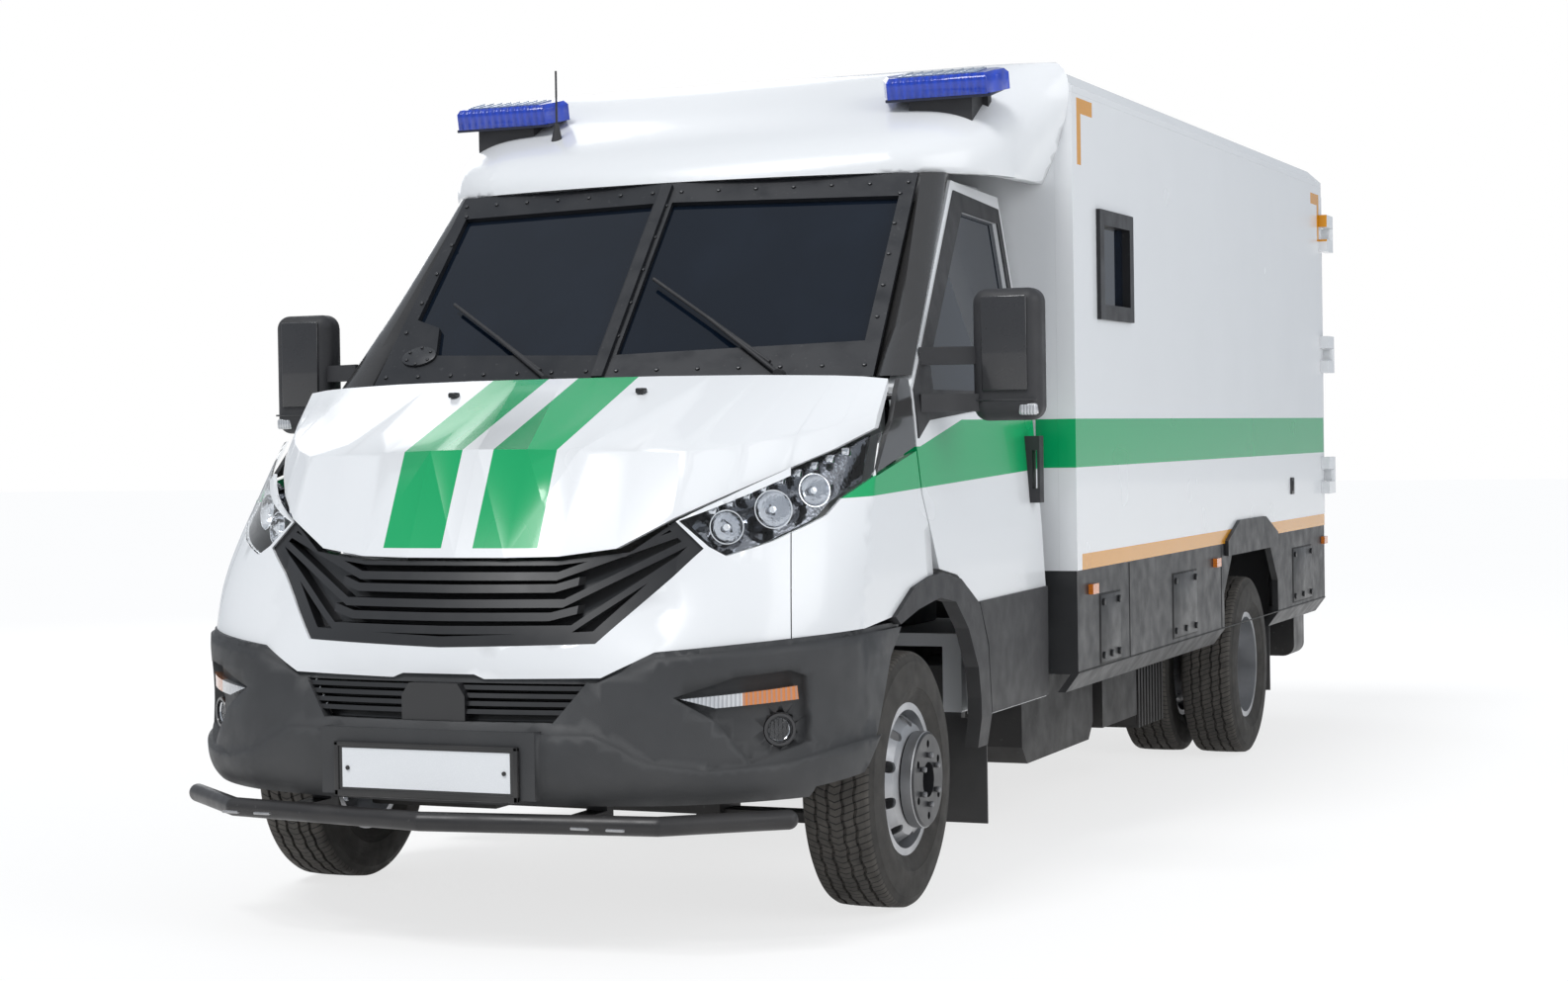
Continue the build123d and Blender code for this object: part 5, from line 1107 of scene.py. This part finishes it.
class VAN_OT_front_details(bpy.types.Operator):
    """Fits the plate frame, fog lamp glass, washer jets and bar fittings"""
    bl_idname = "cashvan.front_details"
    bl_label = "Plate frame, fog lamps and jets"

    def execute(self, context):
        trim = moulded_plastic("plate_frame", (0.012, 0.012, 0.013), 0.35)
        low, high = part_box("number_plate")
        face, back = low[1], high[1]
        front = face - 0.005
        bars = [slab((x0, front, z0), (x1, back, z1), 0.003)
                for x0, x1, z0, z1 in ((-0.276, 0.276, 0.404, 0.422), (-0.276, 0.276, 0.538, 0.55),
                                       (-0.276, -0.262, 0.404, 0.55), (0.262, 0.276, 0.404, 0.55))]
        screws = stood_at(bolt_head(0.012, 0.004, 16), [((x, face, 0.48), (0, -1, 0)) for x in (-0.235, 0.235)])
        joined(bars + screws, "plate_frame_bars", trim)
        way = Vector((0.62, -0.78, 0.0)).normalized()
        centre = Vector((0.873, FRONT_AXLE_Y - 0.738, 0.5775)) - way * 0.014
        glass = spun([(-0.004, 0.0001), (0.004, 0.0001), (0.003, 0.018), (-0.001, 0.0325), (-0.006, 0.0325)],
                     centre - way * 0.006, way, 40)
        joined(mirrored([glass]), "fog_lamp_glass", clear_lens("fog_glass"), "van")
        bowl = spun([(-0.01, 0.031), (-0.016, 0.026), (-0.0185, 0.01), (-0.019, 0.0002), (-0.02, 0.0002),
                     (-0.0195, 0.012), (-0.018, 0.027), (-0.012, 0.033)], centre + way * 0.0065, way, 40)
        ring = spun([(0.0, 0.034), (0.004, 0.036), (0.004, 0.043), (0.0, 0.0455), (-0.006, 0.0455),
                     (-0.006, 0.034)], centre, way, 48)
        joined(mirrored([bowl]), "fog_lamp_bowls", bright_reflector("fog_bowl"), "van")
        joined(mirrored([ring]), "fog_lamp_rings", gloss_trim("fog_ring", (0.016, 0.016, 0.018), 0.2))
        jets = [slab((0.288, -2.7, 1.476), (0.314, -2.668, 1.492), 0.005, 3)]
        joined(mirrored(jets), "washer_jets", trim, "bonnet")
        slots = [slab((x, -3.508, 0.35), (x + 0.05, -3.496, 0.357), 0.002) for x in (-0.6, -0.5, 0.45, 0.55)]
        joined(slots, "bar_slots", bare_metal("slot_steel", (0.5, 0.5, 0.51), 0.3), "van")
        return {"FINISHED"}


class VAN_OT_cab_inside(bpy.types.Operator):
    """Replaces the plain seats and dashboard with upholstered seats, a dashboard and a steering wheel"""
    bl_idname = "cashvan.cab_inside"
    bl_label = "Seats and dashboard"

    def execute(self, context):
        cloth = seat_fabric()
        trim = moulded_plastic("dash_plastic", (0.025, 0.026, 0.03), 0.6, 0.5, 0.0)
        for name, side in SIDES:
            x = side * SEAT_X
            bottom = self.pad((x - 0.235, -1.515, 0.985), (x + 0.235, -1.09, 1.112))
            back = self.pad((x - 0.235, -1.15, 1.105), (x + 0.235, -1.045, 1.6))
            head = self.pad((x - 0.13, -1.14, 1.63), (x + 0.13, -1.05, 1.825))
            for piece, part in ((bottom, "cushion"), (back, "back"), (head, "headrest")):
                joined([piece], f"seat_{part}_{name}", cloth, "van", 60.0)
        middles = [side * SEAT_X for _, side in SIDES]
        stands = [slab((x - 0.18, -1.5, 0.7305), (x + 0.18, -1.1, 0.982), 0.012) for x in middles]
        stands += [rod((x + dx, -1.095, 1.59), (x + dx, -1.095, 1.64), 0.006, 12)
                   for x in middles for dx in (-0.05, 0.05)]
        dash = [slab((-0.795, -2.222, 1.13), (0.795, -1.895, 1.44), 0.05, 5),
                slab((0.27, -1.96, 1.36), (0.67, -1.87, 1.446), 0.03, 4),
                slab((-0.15, -1.905, 1.15), (0.15, -1.87, 1.4), 0.018, 3)]
        hub = Vector((SEAT_X, -1.75, 1.29))
        way = Vector((0.0, math.cos(math.radians(COLUMN_TILT)), math.sin(math.radians(COLUMN_TILT))))
        clear_choice()
        bpy.ops.mesh.primitive_torus_add(major_radius=0.195, minor_radius=0.014, major_segments=64,
                                         minor_segments=16)
        ring = bpy.context.object
        ring.data.transform(Matrix.Translation(hub) @ upright(way))
        column = rod(hub + way * 0.01, hub - way * 0.2, 0.03, 24, 0.006)
        across = way.cross(Vector((1, 0, 0))).normalized()
        spokes = [rod(hub, hub + reach * 0.19, 0.012, 12)
                  for reach in (Vector((1, 0, 0)), Vector((-1, 0, 0)), across)]
        inside = joined(stands + dash + [ring, column] + spokes, "cab_fittings", trim, "van", 50.0)
        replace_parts(inside, "cab_interior")
        return {"FINISHED"}

    def pad(self, low, high):
        """A crowned pad: a box swollen by subdivision."""
        piece = box(low, high)
        bpy.ops.object.mode_set(mode="EDIT")
        bpy.ops.mesh.select_all(action="SELECT")
        bpy.ops.mesh.subdivide(number_cuts=5)
        bpy.ops.object.mode_set(mode="OBJECT")
        low, high = Vector(low), Vector(high)
        middle, half = (low + high) / 2, (high - low) / 2
        for vertex in piece.data.vertices:
            part = [(vertex.co[i] - middle[i]) / half[i] for i in range(3)]
            pull = 0.94 + 0.06 * (1 - max(abs(part[0]), min(abs(part[1]), abs(part[2]))) ** 2)
            vertex.co = middle + Vector([half[i] * part[i] * pull for i in range(3)])
        modifier = piece.modifiers.new("soft", "SUBSURF")
        modifier.levels = 2
        modifier.render_levels = 2
        bpy.ops.object.modifier_apply(modifier=modifier.name)
        return piece


OPERATORS = [VAN_OT_stage, VAN_OT_finishes, VAN_OT_smooth_panels, VAN_OT_tyres, VAN_OT_wheel_parts,
             VAN_OT_window_bolts, VAN_OT_headlamps, VAN_OT_beacon_tops, VAN_OT_mirrors, VAN_OT_side_details,
             VAN_OT_rear_details, VAN_OT_front_details, VAN_OT_cab_inside]


class VAN_PT_panel(bpy.types.Panel):
    """The van's pieces, their sizes and colours"""
    bl_idname = "VAN_PT_panel"
    bl_label = "Cash van"
    bl_space_type = "VIEW_3D"
    bl_region_type = "UI"
    bl_category = "Cash van"

    def draw(self, context):
        for name in VanSizes.__annotations__:
            self.layout.prop(context.scene.van_sizes, name)
        for name in VanColours.__annotations__:
            self.layout.prop(context.scene.van_colours, name)
        for operator in OPERATORS:
            self.layout.operator(operator.bl_idname)


CLASSES = [VanSizes, VanColours] + OPERATORS + [VAN_PT_panel]


def register():
    """Adds the operators and the panel to Blender."""
    for item in CLASSES:
        bpy.utils.register_class(item)
    bpy.types.Scene.van_sizes = bpy.props.PointerProperty(type=VanSizes)
    bpy.types.Scene.van_colours = bpy.props.PointerProperty(type=VanColours)


def unregister():
    """Takes them out again."""
    del bpy.types.Scene.van_sizes
    del bpy.types.Scene.van_colours
    for item in reversed(CLASSES):
        bpy.utils.unregister_class(item)


def main():
    """Dresses the frame, one operator after another."""
    register()
    for operator in OPERATORS:
        group, name = operator.bl_idname.split(".")
        getattr(getattr(bpy.ops, group), name)()
    clear_choice()


if __name__ == "__main__":
    main()
